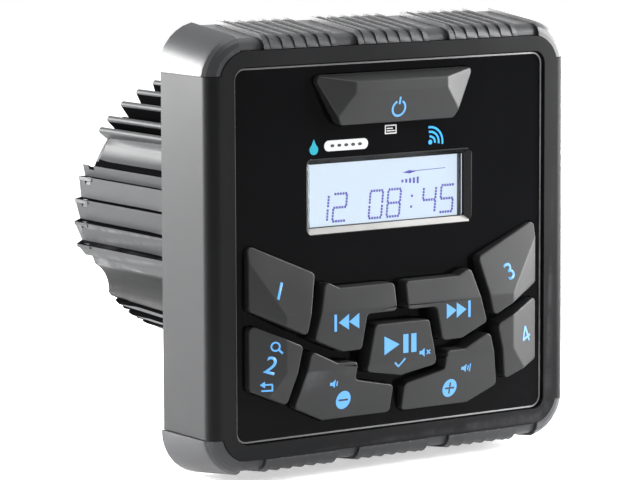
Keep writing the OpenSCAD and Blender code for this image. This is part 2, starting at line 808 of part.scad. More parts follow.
module power_key() {
    color("#4c4f55") {
        intersection() {
            along(panel_y - brow_h - 1, lip_back) polygon(rounded(brow, key_r));
            brow_roof();
        }
        key_foot(brow, brow_at);
    }
}
module source_key() {
    color("#3c3f46") mirror([1, 0, 0]) key(outer_upper, outer_upper_at);
}
module band_key() {
    color("#3c3f46") mirror([1, 0, 0]) key(outer_lower, outer_lower_at);
}
module previous_key() {
    color("#3c3f46") mirror([1, 0, 0]) key(upper_arm, upper_arm_at);
}
module next_key() {
    color("#3c3f46") key(upper_arm, upper_arm_at);
}
module play_key() {
    color("#3c3f46") key(middle, middle_at);
}
module volume_down_key() {
    color("#3c3f46") mirror([1, 0, 0]) key(lower_arm, lower_arm_at);
}
module volume_up_key() {
    color("#3c3f46") key(lower_arm, lower_arm_at);
}
module preset_key() {
    color("#3c3f46") key(outer_upper, outer_upper_at);
}
module audio_key() {
    color("#3c3f46") key(outer_lower, outer_lower_at);
}

// Front board and what it carries
module key_mat() {
    color("#d9d6cf") {
        difference() {
            union() {
                along(mat_y, board_front) plate(board_hw - mat_edge, board_hh - mat_edge,
                    mat_corner_r);
                for (p = press_points) rod(p, dome_r, dome_y, mat_y + 0.1);
            }
            for (p = press_points) rod(p, dome_inner_r, dome_inner_y, board_front + 1);
            for (p = light_points) rod(p, light_hole_r, mat_y - 1, board_front + 1);
            for (p = concat(corner_posts, side_posts)) rod(p, post_r + post_gap, mat_y - 1,
                board_front + 1);
            at_display() along(mat_y - 1, board_front + 1)
                plate(holder_w / 2 + holder_gap, holder_h / 2 + holder_gap, 0);
        }
        for (p = press_points) rod(p, plunger_r, nub_y, dome_y + 0.1);
    }
}
module tact_switches() {
    color("#b8b9bb") for (p = press_points) {
        block([p[0] - switch_w / 2, p[0] + switch_w / 2],
            [board_front - switch_h + stem_l, board_front],
            [p[1] - switch_w / 2, p[1] + switch_w / 2]);
        rod(p, stem_r, board_front - switch_h, board_front - switch_h + stem_l + 0.1);
    }
}
module key_lights() {
    color("#f2f4ff") for (p = light_points) block([p[0] - light_size[0] / 2,
        p[0] + light_size[0] / 2], [board_front - light_size[1], board_front],
        [p[1] - light_size[2] / 2, p[1] + light_size[2] / 2]);
}
module front_board() {
    color("#1f5f3a") along(board_front, board_back) difference() {
        plate(board_hw, board_hh, 2);
        for (p = corner_posts) translate(p) circle(r = screw_r + post_gap);
        for (p = side_posts) translate(p) circle(r = small_screw_r + post_gap);
    }
}
module front_connector() {
    color("#e6e0d0") block([-connector_hw, connector_hw], [board_back, board_back + connector_h],
        [-front_connector_w / 2, front_connector_w / 2]);
}
module processor_chip() {
    color("#17181a") block([processor_at[0], processor_at[0] + processor_size[0]],
        [board_back, board_back + processor_size[2]],
        [processor_at[1], processor_at[1] + processor_size[1]]);
}
module board_screws() {
    color("#b9bbbe") for (p = side_posts) screw(p, small_screw_r, small_head_r, small_head_t,
        board_back, board_t + thread_in);
}
module panel_screws() {
    color("#b9bbbe") for (p = corner_posts) screw(p, screw_r, head_r, head_t, -head_sink,
        thread_in - head_sink - board_front);
}
module dash_gasket() {
    color("#1c1c1c") tube([0, 0], gasket_in + gasket_w, gasket_in, -gasket_t, 0);
}

// Round housing
module fin_gaps(middle_angle) {
    along(gap_y, body_l + 1) difference() {
        polygon(concat([[0, 0]], [for (i = [-4:4])
            polar(1.5 * spigot_r, middle_angle + fin_half * i / 4)]));
        circle(r = gap_floor_r);
    }
}
module deep_fins(middle_angle) {
    root = gap_floor_r - 1;
    low_r = low_rib_w / 2;
    middle = (fin_count - 1) / 2;
    offsets = concat([-border_fin], [for (i = [0:fin_count - 1]) (i - middle) * fin_step],
        [border_fin]);
    along(gap_y - 0.5, body_l) rotate(middle_angle) {
        for (a = offsets) rotate(a) {
            translate([root, -fin_t / 2]) square([tip_r - fin_t / 2 - root, fin_t]);
            translate([tip_r - fin_t / 2, 0]) circle(r = fin_t / 2);
        }
        for (i = [0:fin_count - 2]) rotate((i - (fin_count - 2) / 2) * fin_step) {
            translate([root, -low_r]) square([1 + low_rib_h - low_r, low_rib_w]);
            translate([root + 1 + low_rib_h - low_r, 0]) circle(r = low_r);
        }
    }
}
module side_ridges() {
    difference() {
        along(gap_y, body_l) polygon(concat([[-20, 0]], [for (i = [0:ridge_count])
            each [polar(tip_r, ridge_tips[i]), polar(ridge_root_r,
                i < ridge_count ? ridge_tips[i + 1] - ridge_lead : ridge_foot)]]));
        tube([0, 0], tip_r + 1, rear_groove_r, rear_groove_back - rear_groove_w, rear_groove_back);
    }
    along(body_l - ridge_head_l, body_l) for (i = [1:ridge_count])
        rotate(ridge_tips[i]) translate([ridge_root_r - 1, ridge_head_in])
            square([tip_r - ridge_head_in - ridge_root_r + 1, ridge_head_t]);
}
module board_guides() {
    low = main_foot - rail_gap - rail_h;
    high = main_z + rail_gap;
    for (z = [low, high])
        block([main_w / 2 - rail_lap, spigot_r], [main_y, main_back], [z, z + rail_h]);
    block([main_w / 2 - rail_lap, spigot_r],
        [main_y - guide_stop_gap - guide_stop_t, main_y - guide_stop_gap], [low, high + rail_h]);
}
module rear_housing() {
    color("#77797c") difference() {
        union() {
            difference() {
                turned([[bore_r, 0], [spigot_r, 0], [spigot_r, spigot_l],
                    [cone_front_r, spigot_l + 0.6], [cone_rear_r, body_l - step_l],
                    [cone_rear_r - step_deep, body_l - step_l], [cone_rear_r - step_deep, body_l],
                    [bore_r, body_l]]);
                fin_gaps(90);
                fin_gaps(270);
            }
            difference() {
                union() {
                    deep_fins(90);
                    intersection() {
                        deep_fins(270);
                        turned([[0, 0], [tip_r, 0], [tip_r, gap_y], [low_tip_r, body_l],
                            [0, body_l]]);
                    }
                    both_sides() side_ridges();
                }
                rod([0, 0], gap_floor_r - 0.8, 0, body_l + 1);
            }
            intersection() {
                union() {
                    for (a = cover_screw_angles)
                        rod(polar(cover_screw_at, a), boss_r, cover_y - boss_l, cover_y);
                    both_sides() board_guides();
                    block([heat_x, spigot_r], [amp_y - 2, amp_y + amp_l + 2],
                        [main_z + leads_h, clamp_z + 3]);
                }
                rod([0, 0], bore_r + 1, 0, cover_y);
            }
        }
        for (a = flute_angles) rod(polar(flute_at, a), flute_r, gap_y, body_l + 1);
        for (a = low_flute_angles)
            rod(polar(low_flute_at, a), low_flute_r, gap_y, body_l + 1);
        rod([0, 0], cover_seat_r, cover_y, body_l + 1);
        tube([0, 0], cover_seal_in + cover_seal_w + 0.1, cover_seal_in - 0.1,
            cover_y - cover_seal_t, cover_y + 1);
        tube([0, 0], seal_groove_in + seal_groove_w, seal_groove_in, -1, seal_groove_t);
        for (a = body_screw_angles)
            rod(polar(body_screw_at, a), screw_r + screw_gap, -1, screw_in + 1);
        for (a = cover_screw_angles)
            rod(polar(cover_screw_at, a), screw_r + screw_gap, cover_y - boss_l + 3, cover_y + 1);
        translate([heat_x - 1, clamp_y, clamp_z]) rotate([0, 90, 0])
            cylinder(r = screw_r + screw_gap, h = 6.5);
    }
}
module body_seal() {
    color("#151515") tube([0, 0], seal_groove_in + seal_groove_w - 0.1, seal_groove_in + 0.1, 0,
        seal_groove_t);
}
module body_screws() {
    color("#b9bbbe") for (a = body_screw_angles) {
        rod(polar(body_screw_at, a), head_r, -plate_t - head_t, -plate_t);
        rod(polar(body_screw_at, a), screw_r, -plate_t - 0.1, screw_in);
    }
}

// Main board and what it carries
module main_board() {
    color("#1f5f3a") block([-main_w / 2, main_w / 2], [main_y, main_back], [main_foot, main_z]);
}
module main_connector() {
    color("#e6e0d0") block([-connector_hw, connector_hw],
        [main_y + 0.2, main_y + 0.2 + connector_t], [main_z, main_z + connector_h]);
}
module flat_cable() {
    z = main_z + connector_h / 2;
    y0 = board_back + connector_h;
    y1 = main_y + 0.2;
    t = cable_t / 2;
    color("#eceae4") across(-cable_hw, cable_hw) polygon([[y0, -t], [1 - t, -t],
        [y1 - 1.6 - t, z - t], [y1, z - t], [y1, z + t], [y1 - 1.6 + t, z + t], [1 + t, t],
        [y0, t]]);
}
module amplifier_chip() {
    lead = amp_x + amp_t / 2;
    color("#18191b") {
        block([amp_x, amp_x + amp_t], [amp_y, amp_y + amp_l], [main_z + leads_h, amp_top]);
        for (i = [0:8]) block([lead - 0.4, lead + 0.4], [amp_y + 1.6 + i * (amp_l - 4) / 8,
            amp_y + 2.4 + i * (amp_l - 4) / 8], [main_z, main_z + leads_h + 0.1]);
    }
}
module thermal_pad() {
    color("#8fa9c4") block([amp_x + amp_t, heat_x], [amp_y, amp_y + amp_l],
        [main_z + leads_h, amp_top]);
}
module amplifier_clamp() {
    color("#c3c5c8") difference() {
        block([amp_x - clamp_t, amp_x], [clamp_y - 8, clamp_y + 8], [amp_top - 5, clamp_z + 2.6]);
        translate([amp_x - 2, clamp_y, clamp_z]) rotate([0, 90, 0])
            cylinder(r = screw_r + post_gap, h = 4);
    }
}
module clamp_screw() {
    color("#b9bbbe") translate([amp_x - clamp_t, clamp_y, clamp_z]) rotate([0, 90, 0]) {
        translate([0, 0, -head_t]) cylinder(r = head_r - 0.4, h = head_t);
        translate([0, 0, -0.1]) cylinder(r = screw_r, h = clamp_t + amp_t + pad_t + 5);
    }
}
module on_main(at, size) {
    block([at[0], at[0] + size[0]], [at[1], at[1] + size[1]], [main_z, main_z + size[2]]);
}
module filter_capacitors() {
    color("#23315c") for (i = [0:2])
        translate([capacitor_x, main_y + capacitor_ahead + i * capacitor_pitch, main_z])
            cylinder(r = capacitor_r, h = capacitor_h);
}
module power_coil() {
    color("#9a5b2c") translate([coil_at[0], coil_at[1], main_z + coil_tube_r])
        rotate_extrude($fn = 48) translate([coil_r, 0]) circle(r = coil_tube_r, $fn = 24);
}
module tuner_module() {
    color("#c9cbce") on_main(tuner_at, tuner_size);
}
module wireless_module() {
    color("#c9cbce") on_main(wireless_at, wireless_size);
}
module signal_chip() {
    color("#17181a") translate([0, 0, -board_t - signal_size[2]]) on_main(signal_at, signal_size);
}
module harness_header() {
    color("#e6e0d0") on_main(header_at, header_size);
}

// Rear cover and its fittings
module rear_cover() {
    color("#55575a") difference() {
        rod([0, 0], cover_seat_r - fit, cover_y, cover_back);
        for (a = cover_screw_angles)
            rod(polar(cover_screw_at, a), screw_r + screw_gap, cover_y - 1, cover_back + 1);
        rod(harness_at, harness_bore_r + gland_wall + screw_gap, cover_y - 1, cover_back + 1);
        rod(aux_at, aux_bore_r + gland_wall + screw_gap, cover_y - 1, cover_back + 1);
        rod(antenna_at, antenna_bore_r + socket_wall + screw_gap, cover_y - 1, cover_back + 1);
        for (x = [-1, 1]) rod([x * stud_span / 2, 0], stud_neck_r + screw_gap, cover_y - 1,
            cover_back + 1);
    }
}
module cover_seal() {
    color("#151515") tube([0, 0], cover_seal_in + cover_seal_w, cover_seal_in,
        cover_y - cover_seal_t, cover_y);
}
module cover_screws() {
    color("#b9bbbe") for (a = cover_screw_angles) screw(polar(cover_screw_at, a), screw_r,
        head_r - 0.2, head_t, cover_back, cover_t + 8);
}
module gland(at, r) {
    neck = r + gland_wall;
    difference() {
        union() {
            rod(at, neck, cover_y - gland_lip_t, cover_back + gland_out);
            rod(at, neck + gland_lip, cover_y - gland_lip_t, cover_y);
            rod(at, neck + gland_lip, cover_back, cover_back + gland_out);
        }
        rod(at, r, cover_y - gland_lip_t - 1, cover_back + gland_out + 1);
    }
}
module harness_gland() {
    color("#202122") gland(harness_at, harness_bore_r);
}
module aux_gland() {
    color("#202122") gland(aux_at, aux_bore_r);
}
module antenna_socket() {
    wall = antenna_bore_r + socket_wall;
    color("#2a2b2d") difference() {
        union() {
            rod(antenna_at, wall, body_l - antenna_bore_l - 3, body_l);
            rod(antenna_at, wall + socket_lip, cover_y - gland_lip_t, cover_y);
        }
        rod(antenna_at, antenna_bore_r, body_l - antenna_bore_l, body_l + 1);
    }
}
module antenna_nut() {
    wall = antenna_bore_r + socket_wall;
    color("#b9bbbe") tube(antenna_at, wall + nut_wall, wall + screw_gap, cover_back,
        cover_back + nut_t);
}
module bracket_studs() {
    color("#b9bbbe") for (x = [-1, 1]) {
        rod([x * stud_span / 2, 0], stud_head_r, cover_y - stud_head_t, cover_y);
        rod([x * stud_span / 2, 0], stud_neck_r, cover_y - 0.1, cover_back);
        rod([x * stud_span / 2, 0], stud_r, cover_back - 0.1, cover_back + stud_out);
    }
}

bezel_frame();
top_grip();
bottom_grip();
front_panel();
panel_seal();
display_surround();
display_window();
lcd_glass();
backlight();
lcd_holder();
power_key();
source_key();
band_key();
previous_key();
next_key();
play_key();
volume_down_key();
volume_up_key();
preset_key();
audio_key();
key_mat();
tact_switches();
key_lights();
front_board();
front_connector();
processor_chip();
board_screws();
panel_screws();
dash_gasket();
rear_housing();
body_seal();
body_screws();
main_board();
main_connector();
flat_cable();
amplifier_chip();
thermal_pad();
amplifier_clamp();
clamp_screw();
filter_capacitors();
power_coil();
tuner_module();
wireless_module();
signal_chip();
harness_header();
rear_cover();
cover_seal();
cover_screws();
harness_gland();
aux_gland();
antenna_socket();
antenna_nut();
bracket_studs();
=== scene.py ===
import math

import bpy
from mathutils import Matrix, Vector


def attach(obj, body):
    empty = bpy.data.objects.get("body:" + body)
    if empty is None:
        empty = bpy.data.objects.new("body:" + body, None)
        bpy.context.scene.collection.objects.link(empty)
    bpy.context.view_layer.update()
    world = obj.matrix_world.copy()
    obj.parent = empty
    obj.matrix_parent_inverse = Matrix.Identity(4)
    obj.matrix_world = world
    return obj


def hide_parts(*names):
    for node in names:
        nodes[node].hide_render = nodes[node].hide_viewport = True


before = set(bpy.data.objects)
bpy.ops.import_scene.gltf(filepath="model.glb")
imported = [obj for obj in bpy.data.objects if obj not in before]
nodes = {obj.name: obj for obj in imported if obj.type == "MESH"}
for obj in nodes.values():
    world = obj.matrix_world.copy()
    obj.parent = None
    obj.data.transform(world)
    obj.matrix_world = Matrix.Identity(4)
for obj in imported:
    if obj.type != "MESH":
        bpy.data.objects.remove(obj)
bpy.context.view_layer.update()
print("frame loaded:", len(nodes), "nodes")

mm = 0.001

camera = {
    "place": (-0.515713, -0.744406, 0.116430),
    "turn": (82.596, 0.2068, -34.336),
    "lens": 198.5,
    "sensor": 36,
    "near": 0.05,
}


def addCamera():
    bpy.ops.object.camera_add(location=camera["place"],
                              rotation=[math.radians(a) for a in camera["turn"]])
    eye = bpy.context.object
    eye.name = "photoCamera"
    eye.data.lens = camera["lens"]
    eye.data.sensor_width = camera["sensor"]
    eye.data.clip_start = camera["near"]
    bpy.context.scene.camera = eye


addCamera()


# Node groups: what the materials share

def newGroup(name, inputs, outputs):
    tree = bpy.data.node_groups.new(name, "ShaderNodeTree")
    for socket, kind, value in inputs:
        made = tree.interface.new_socket(socket, in_out="INPUT", socket_type="NodeSocket" + kind)
        made.default_value = value
    for socket, kind in outputs:
        tree.interface.new_socket(socket, in_out="OUTPUT", socket_type="NodeSocket" + kind)
    return tree, tree.nodes.new("NodeGroupInput"), tree.nodes.new("NodeGroupOutput")


def addNode(tree, kind, settings=None, **values):
    node = tree.nodes.new("ShaderNode" + kind)
    for name, value in (settings or {}).items():
        setattr(node, name, value)
    for name, value in values.items():
        node.inputs[name].default_value = value
    return node


def alongAxis(tree, axis):
    place = addNode(tree, "TexCoord")
    split = addNode(tree, "SeparateXYZ")
    tree.links.new(place.outputs["Object"], split.inputs["Vector"])
    return split.outputs[axis]


# Fine grain over soft clouds, whose sum lies round its middle value
grainShape = {"detail": 4.0, "harshness": 0.6, "cloudScale": 55.0, "cloudDetail": 3.0,
              "grainShare": 0.4, "middle": 0.7, "relief": 0.0002}


def makeMouldedGrain():
    tree, given, out = newGroup(
        "mouldedGrain",
        [("Grain", "Float", 2500.0), ("Bump", "Float", 0.15), ("Roughness", "Float", 0.5),
         ("Spread", "Float", 0.1)],
        [("Mottle", "Float"), ("Roughness", "Float"), ("Normal", "Vector")])
    link = tree.links.new
    place = addNode(tree, "TexCoord")
    fine = addNode(tree, "TexNoise", Detail=grainShape["detail"],
                   Roughness=grainShape["harshness"])
    cloud = addNode(tree, "TexNoise", Scale=grainShape["cloudScale"],
                    Detail=grainShape["cloudDetail"])
    link(place.outputs["Object"], fine.inputs["Vector"])
    link(place.outputs["Object"], cloud.inputs["Vector"])
    link(given.outputs["Grain"], fine.inputs["Scale"])
    both = addNode(tree, "Math", {"operation": "MULTIPLY_ADD"})
    link(fine.outputs["Fac"], both.inputs[0])
    both.inputs[1].default_value = grainShape["grainShare"]
    link(cloud.outputs["Fac"], both.inputs[2])
    centred = addNode(tree, "Math", {"operation": "SUBTRACT"})
    link(both.outputs[0], centred.inputs[0])
    centred.inputs[1].default_value = grainShape["middle"]
    rough = addNode(tree, "Math", {"operation": "MULTIPLY_ADD"})
    link(centred.outputs[0], rough.inputs[0])
    link(given.outputs["Spread"], rough.inputs[1])
    link(given.outputs["Roughness"], rough.inputs[2])
    bump = addNode(tree, "Bump", Distance=grainShape["relief"])
    link(fine.outputs["Fac"], bump.inputs["Height"])
    link(given.outputs["Bump"], bump.inputs["Strength"])
    link(both.outputs[0], out.inputs["Mottle"])
    link(rough.outputs[0], out.inputs["Roughness"])
    link(bump.outputs["Normal"], out.inputs["Normal"])
    return tree


# Wear shows where an edge is sharp and a patch of noise covers it
wearShape = {"detail": 5.0, "harshness": 0.65, "patchFrom": 0.35, "patchTo": 0.7}


def makeEdgeWear():
    tree, given, out = newGroup(
        "edgeWear", [("Start", "Float", 0.52), ("End", "Float", 0.6), ("Patches", "Float", 120.0)],
        [("Mask", "Float")])
    link = tree.links.new
    place = addNode(tree, "TexCoord")
    shape = addNode(tree, "NewGeometry")
    ramp = addNode(tree, "MapRange", {"interpolation_type": "SMOOTHSTEP"})
    link(shape.outputs["Pointiness"], ramp.inputs["Value"])
    link(given.outputs["Start"], ramp.inputs["From Min"])
    link(given.outputs["End"], ramp.inputs["From Max"])
    patches = addNode(tree, "TexNoise", Detail=wearShape["detail"],
                      Roughness=wearShape["harshness"])
    link(place.outputs["Object"], patches.inputs["Vector"])
    link(given.outputs["Patches"], patches.inputs["Scale"])
    broken = addNode(tree, "MapRange", {"interpolation_type": "SMOOTHSTEP"})
    broken.inputs["From Min"].default_value = wearShape["patchFrom"]
    broken.inputs["From Max"].default_value = wearShape["patchTo"]
    link(patches.outputs["Fac"], broken.inputs["Value"])
    mask = addNode(tree, "Math", {"operation": "MULTIPLY"})
    link(ramp.outputs["Result"], mask.inputs[0])
    link(broken.outputs["Result"], mask.inputs[1])
    link(mask.outputs[0], out.inputs["Mask"])
    return tree


frameSideLight = {"front": -21.5, "rear": -18.5}  # painted light: the frame's side is paler than its front, standing in for the light on its side walls


def makePaintedSideLight():
    tree, given, out = newGroup(
        "paintedSideLight",
        [("Start", "Float", frameSideLight["front"] * mm), ("End", "Float", frameSideLight["rear"] * mm)],
        [("Rear", "Float")])
    link = tree.links.new
    fade = addNode(tree, "MapRange", {"interpolation_type": "SMOOTHSTEP"})
    link(alongAxis(tree, "Y"), fade.inputs["Value"])
    link(given.outputs["Start"], fade.inputs["From Min"])
    link(given.outputs["End"], fade.inputs["From Max"])
    link(fade.outputs["Result"], out.inputs["Rear"])
    return tree


mouldedGrain = makeMouldedGrain()
paintedSideLight = makePaintedSideLight()
edgeWear = makeEdgeWear()


# Materials

def startMaterial(name):
    material = bpy.data.materials.new(name)
    material.use_nodes = True
    tree = material.node_tree
    return material, tree, tree.nodes["Principled BSDF"]


def addGroup(tree, group, **values):
    node = tree.nodes.new("ShaderNodeGroup")
    node.node_tree = group
    for name, value in values.items():
        node.inputs[name].default_value = value
    return node


def mixColor(tree, factor, a, b):
    mix = tree.nodes.new("ShaderNodeMix")
    mix.data_type = "RGBA"
    tree.links.new(factor, mix.inputs["Factor"])
    for socket, color in ((mix.inputs[6], a), (mix.inputs[7], b)):
        if isinstance(color, tuple):
            socket.default_value = (*color, 1)
        else:
            tree.links.new(color, socket)
    return mix.outputs[2]


def grained(name, dark, light, worn, roughness=0.5, spread=0.15, grain=2500.0, bump=0.15,
            metallic=0.0, specular=0.5, wearAt=(0.54, 0.62), rear=None):
    material, tree, shader = startMaterial(name)
    moulded = addGroup(tree, mouldedGrain, Grain=grain, Bump=bump, Roughness=roughness,
                       Spread=spread)
    edges = addGroup(tree, edgeWear, Start=wearAt[0], End=wearAt[1])
    body = mixColor(tree, moulded.outputs["Mottle"], dark, light)
    # painted light: the rear colour paints the lit look of the side walls behind the front
    if rear:
        body = mixColor(tree, addGroup(tree, paintedSideLight).outputs["Rear"], body, rear)
    tree.links.new(mixColor(tree, edges.outputs["Mask"], body, worn), shader.inputs["Base Color"])
    tree.links.new(moulded.outputs["Roughness"], shader.inputs["Roughness"])
    tree.links.new(moulded.outputs["Normal"], shader.inputs["Normal"])
    shader.inputs["Metallic"].default_value = metallic
    shader.inputs["Specular IOR Level"].default_value = specular
    return material


def glowing(name, color, strength, base=(0.02, 0.05, 0.08), dimmest=0.86):
    material, tree, shader = startMaterial(name)
    moulded = addGroup(tree, mouldedGrain, Grain=3000.0, Bump=0.03, Roughness=0.4, Spread=0.1)
    dim = tuple(dimmest * c for c in color)
    tint = mixColor(tree, moulded.outputs["Mottle"], dim, color)
    tree.links.new(tint, shader.inputs["Emission Color"])
    tree.links.new(moulded.outputs["Roughness"], shader.inputs["Roughness"])
    shader.inputs["Base Color"].default_value = (*base, 1)
    shader.inputs["Emission Strength"].default_value = strength
    return material


# the frame's paler rear colour is painted light on its side walls
framePlastic = grained("framePlastic", (0.0055, 0.0057, 0.0062), (0.0085, 0.0088, 0.0095),
                       (0.03, 0.03, 0.032), roughness=0.38, grain=2200.0, bump=0.06,
                       specular=0.08, rear=(0.024, 0.0245, 0.0255))
gripPlastic = grained("gripPlastic", (0.023, 0.0235, 0.0255), (0.034, 0.0348, 0.0372),
                      (0.085, 0.085, 0.09), roughness=0.42, grain=2000.0, bump=0.08,
                      specular=0.3)
panelGloss = grained("panelGloss", (0.0020, 0.0021, 0.0024), (0.0032, 0.0033, 0.0038),
                     (0.02, 0.02, 0.022), roughness=0.10, spread=0.06, grain=400.0, bump=0.01,
                     specular=0.04, wearAt=(0.95, 1.0))
surroundGloss = grained("surroundGloss", (0.004, 0.0042, 0.0046), (0.006, 0.0062, 0.0068),
                        (0.03, 0.03, 0.032), roughness=0.22, bump=0.03, specular=0.25)
# painted highlight for the display surround's lower and left slopes
ledgeGlintPaint = grained("ledgeGlintPaint", (0.34, 0.335, 0.325), (0.42, 0.415, 0.40),
                     (0.45, 0.45, 0.44), roughness=0.3, bump=0.02)
keyPlastic = grained("keyPlastic", (0.0095, 0.0098, 0.0105), (0.0138, 0.0142, 0.0151),
                     (0.04, 0.041, 0.043), roughness=0.40, grain=3200.0, bump=0.05,
                     specular=0.27)
keySkirt = grained("keySkirt", (0.006, 0.006, 0.007), (0.009, 0.009, 0.010),
                   (0.02, 0.02, 0.022), roughness=0.55, grain=3200.0, bump=0.06)
castHousing = grained("castHousing", (0.028, 0.0285, 0.0295), (0.042, 0.043, 0.0445),
                      (0.10, 0.10, 0.105), roughness=0.45, grain=1600.0, bump=0.12,
                      specular=0.09)
# painted shade: near black for the housing's gaps, ridge steps and upper flute walls
housingDeepShade = grained("housingDeepShade", (0.0022, 0.0022, 0.0024), (0.0038, 0.0038, 0.0042),
                  (0.02, 0.02, 0.021), roughness=0.5, grain=1600.0, bump=0.12, specular=0.0)
# painted shade: a middle tone for the housing's lower flutes
housingHalfShade = grained("housingHalfShade", (0.009, 0.0092, 0.0096), (0.014, 0.0143, 0.0148),
                    (0.04, 0.04, 0.042), roughness=0.48, grain=1600.0, bump=0.12,
                    specular=0.04)
coverPlastic = grained("coverPlastic", (0.020, 0.021, 0.023), (0.032, 0.033, 0.036),
                       (0.07, 0.07, 0.075), roughness=0.5, bump=0.15)
blackRubber = grained("blackRubber", (0.008, 0.008, 0.008), (0.014, 0.014, 0.014),
                      (0.03, 0.03, 0.03), roughness=0.72, grain=1800.0, bump=0.25)
turnedSteel = grained("turnedSteel", (0.20, 0.205, 0.21), (0.28, 0.285, 0.29), (0.5, 0.5, 0.5),
                      roughness=0.36, grain=900.0, bump=0.05, metallic=1.0)
tinnedSteel = grained("tinnedSteel", (0.5, 0.51, 0.52), (0.6, 0.61, 0.62), (0.7, 0.7, 0.7),
                      roughness=0.36, grain=700.0, bump=0.05, metallic=1.0)
greenBoard = grained("greenBoard", (0.006, 0.05, 0.018), (0.010, 0.075, 0.028),
                     (0.30, 0.24, 0.08), roughness=0.32, grain=900.0, bump=0.08)
chipPlastic = grained("chipPlastic", (0.010, 0.010, 0.011), (0.016, 0.016, 0.017),
                      (0.04, 0.04, 0.04), roughness=0.6, grain=5000.0, bump=0.1)
creamPlastic = grained("creamPlastic", (0.62, 0.58, 0.47), (0.70, 0.66, 0.55),
                       (0.8, 0.77, 0.68), roughness=0.45, bump=0.06)
whitePlastic = grained("whitePlastic", (0.60, 0.60, 0.57), (0.70, 0.70, 0.67),
                       (0.8, 0.8, 0.78), roughness=0.5, bump=0.06)
paleSilicone = grained("paleSilicone", (0.55, 0.53, 0.48), (0.64, 0.62, 0.57),
                       (0.7, 0.69, 0.65), roughness=0.65, grain=1500.0, bump=0.12)
flatWhite = grained("flatWhite", (0.66, 0.64, 0.60), (0.74, 0.73, 0.69), (0.8, 0.8, 0.77),
                    roughness=0.4, grain=900.0, bump=0.05)
heatPad = grained("heatPad", (0.16, 0.24, 0.36), (0.22, 0.31, 0.44), (0.3, 0.4, 0.5),
                  roughness=0.8, grain=1400.0, bump=0.3)
blueSleeve = grained("blueSleeve", (0.008, 0.018, 0.10), (0.014, 0.028, 0.14),
                     (0.1, 0.12, 0.25), roughness=0.28, bump=0.05)
copperWire = grained("copperWire", (0.30, 0.09, 0.03), (0.42, 0.14, 0.05), (0.6, 0.3, 0.15),
                     roughness=0.3, grain=500.0, bump=0.2, metallic=0.8)
milkyGuide = grained("milkyGuide", (0.75, 0.78, 0.84), (0.84, 0.87, 0.92), (0.9, 0.92, 0.95),
                     roughness=0.3, bump=0.03)
keyGlow = glowing("keyGlow", (0.10, 0.45, 1.0), 1.0)
printTeal = grained("printTeal", (0.0, 0.26, 0.36), (0.0, 0.33, 0.44), (0.0, 0.3, 0.4),
                    roughness=0.3, bump=0.02)
printBlue = grained("printBlue", (0.01, 0.28, 0.75), (0.02, 0.34, 0.85), (0.0, 0.3, 0.8),
                    roughness=0.3, bump=0.02)
printWhite = grained("printWhite", (0.52, 0.53, 0.55), (0.62, 0.63, 0.65), (0.6, 0.6, 0.6),
                     roughness=0.35, bump=0.02)
displayMask = grained("displayMask", (0.05, 0.055, 0.065), (0.07, 0.075, 0.085),
                      (0.1, 0.1, 0.11), roughness=0.4, bump=0.02)
segmentInk = glowing("segmentInk", (0.040, 0.030, 0.40), 1.0, (0.01, 0.01, 0.06))


# The display is a little brighter on its left
displayTone = {"left": -27, "right": 22, "leftColor": (0.84, 0.95, 1.0),
               "rightColor": (0.80, 0.91, 1.0), "unlit": (0.04, 0.05, 0.07), "strength": 0.81}


def makeDisplayLit():
    material, tree, shader = startMaterial("displayLit")
    link = tree.links.new
    fade = addNode(tree, "MapRange", {"interpolation_type": "SMOOTHSTEP"})
    fade.inputs["From Min"].default_value = displayTone["left"] * mm
    fade.inputs["From Max"].default_value = displayTone["right"] * mm
    link(alongAxis(tree, "X"), fade.inputs["Value"])
    film = addGroup(tree, mouldedGrain, Grain=900.0, Bump=0.01, Roughness=0.3, Spread=0.1)
    lit = mixColor(tree, fade.outputs["Result"], displayTone["leftColor"],
                   displayTone["rightColor"])
    clouded = mixColor(tree, film.outputs["Mottle"], lit, displayTone["rightColor"])
    link(clouded, shader.inputs["Emission Color"])
    link(film.outputs["Roughness"], shader.inputs["Roughness"])
    shader.inputs["Base Color"].default_value = (*displayTone["unlit"], 1)
    shader.inputs["Emission Strength"].default_value = displayTone["strength"]
    return material


# Painted highlight: the cut edge round the panel is pale on its right and dark on its left,
# standing in for light that catches its right side only
rimHighlight = {"reach": 45, "leftColor": (0.05, 0.05, 0.052), "rightColor": (0.42, 0.42, 0.425),
           "dull": (0.12, 0.12, 0.122)}


def makePanelRimGlint():
    material, tree, shader = startMaterial("panelRimGlint")
    link = tree.links.new
    across = addNode(tree, "MapRange")
    across.inputs["From Min"].default_value = -rimHighlight["reach"] * mm
    across.inputs["From Max"].default_value = rimHighlight["reach"] * mm
    link(alongAxis(tree, "X"), across.inputs["Value"])
    cut = addGroup(tree, mouldedGrain, Grain=900.0, Bump=0.01, Roughness=0.25, Spread=0.1)
    mottle = cut.outputs["Mottle"]
    # painted highlight: dark at the left, pale at the right
    shade = mixColor(tree, across.outputs["Result"], rimHighlight["leftColor"],
                     rimHighlight["rightColor"])
    dulled = mixColor(tree, mottle, shade, rimHighlight["dull"])
    link(mixColor(tree, mottle, shade, dulled), shader.inputs["Base Color"])
    link(cut.outputs["Roughness"], shader.inputs["Roughness"])
    return material


def makeClearWindow():
    material, tree, shader = startMaterial("clearWindow")
    film = addGroup(tree, mouldedGrain, Grain=250.0, Bump=0.005, Roughness=0.03, Spread=0.03)
    tree.links.new(film.outputs["Roughness"], shader.inputs["Roughness"])
    shader.inputs["Base Color"].default_value = (0.93, 0.96, 1.0, 1)
    shader.inputs["Transmission Weight"].default_value = 1.0
    shader.inputs["IOR"].default_value = 1.2  # low, so that the display keeps its place
    return material


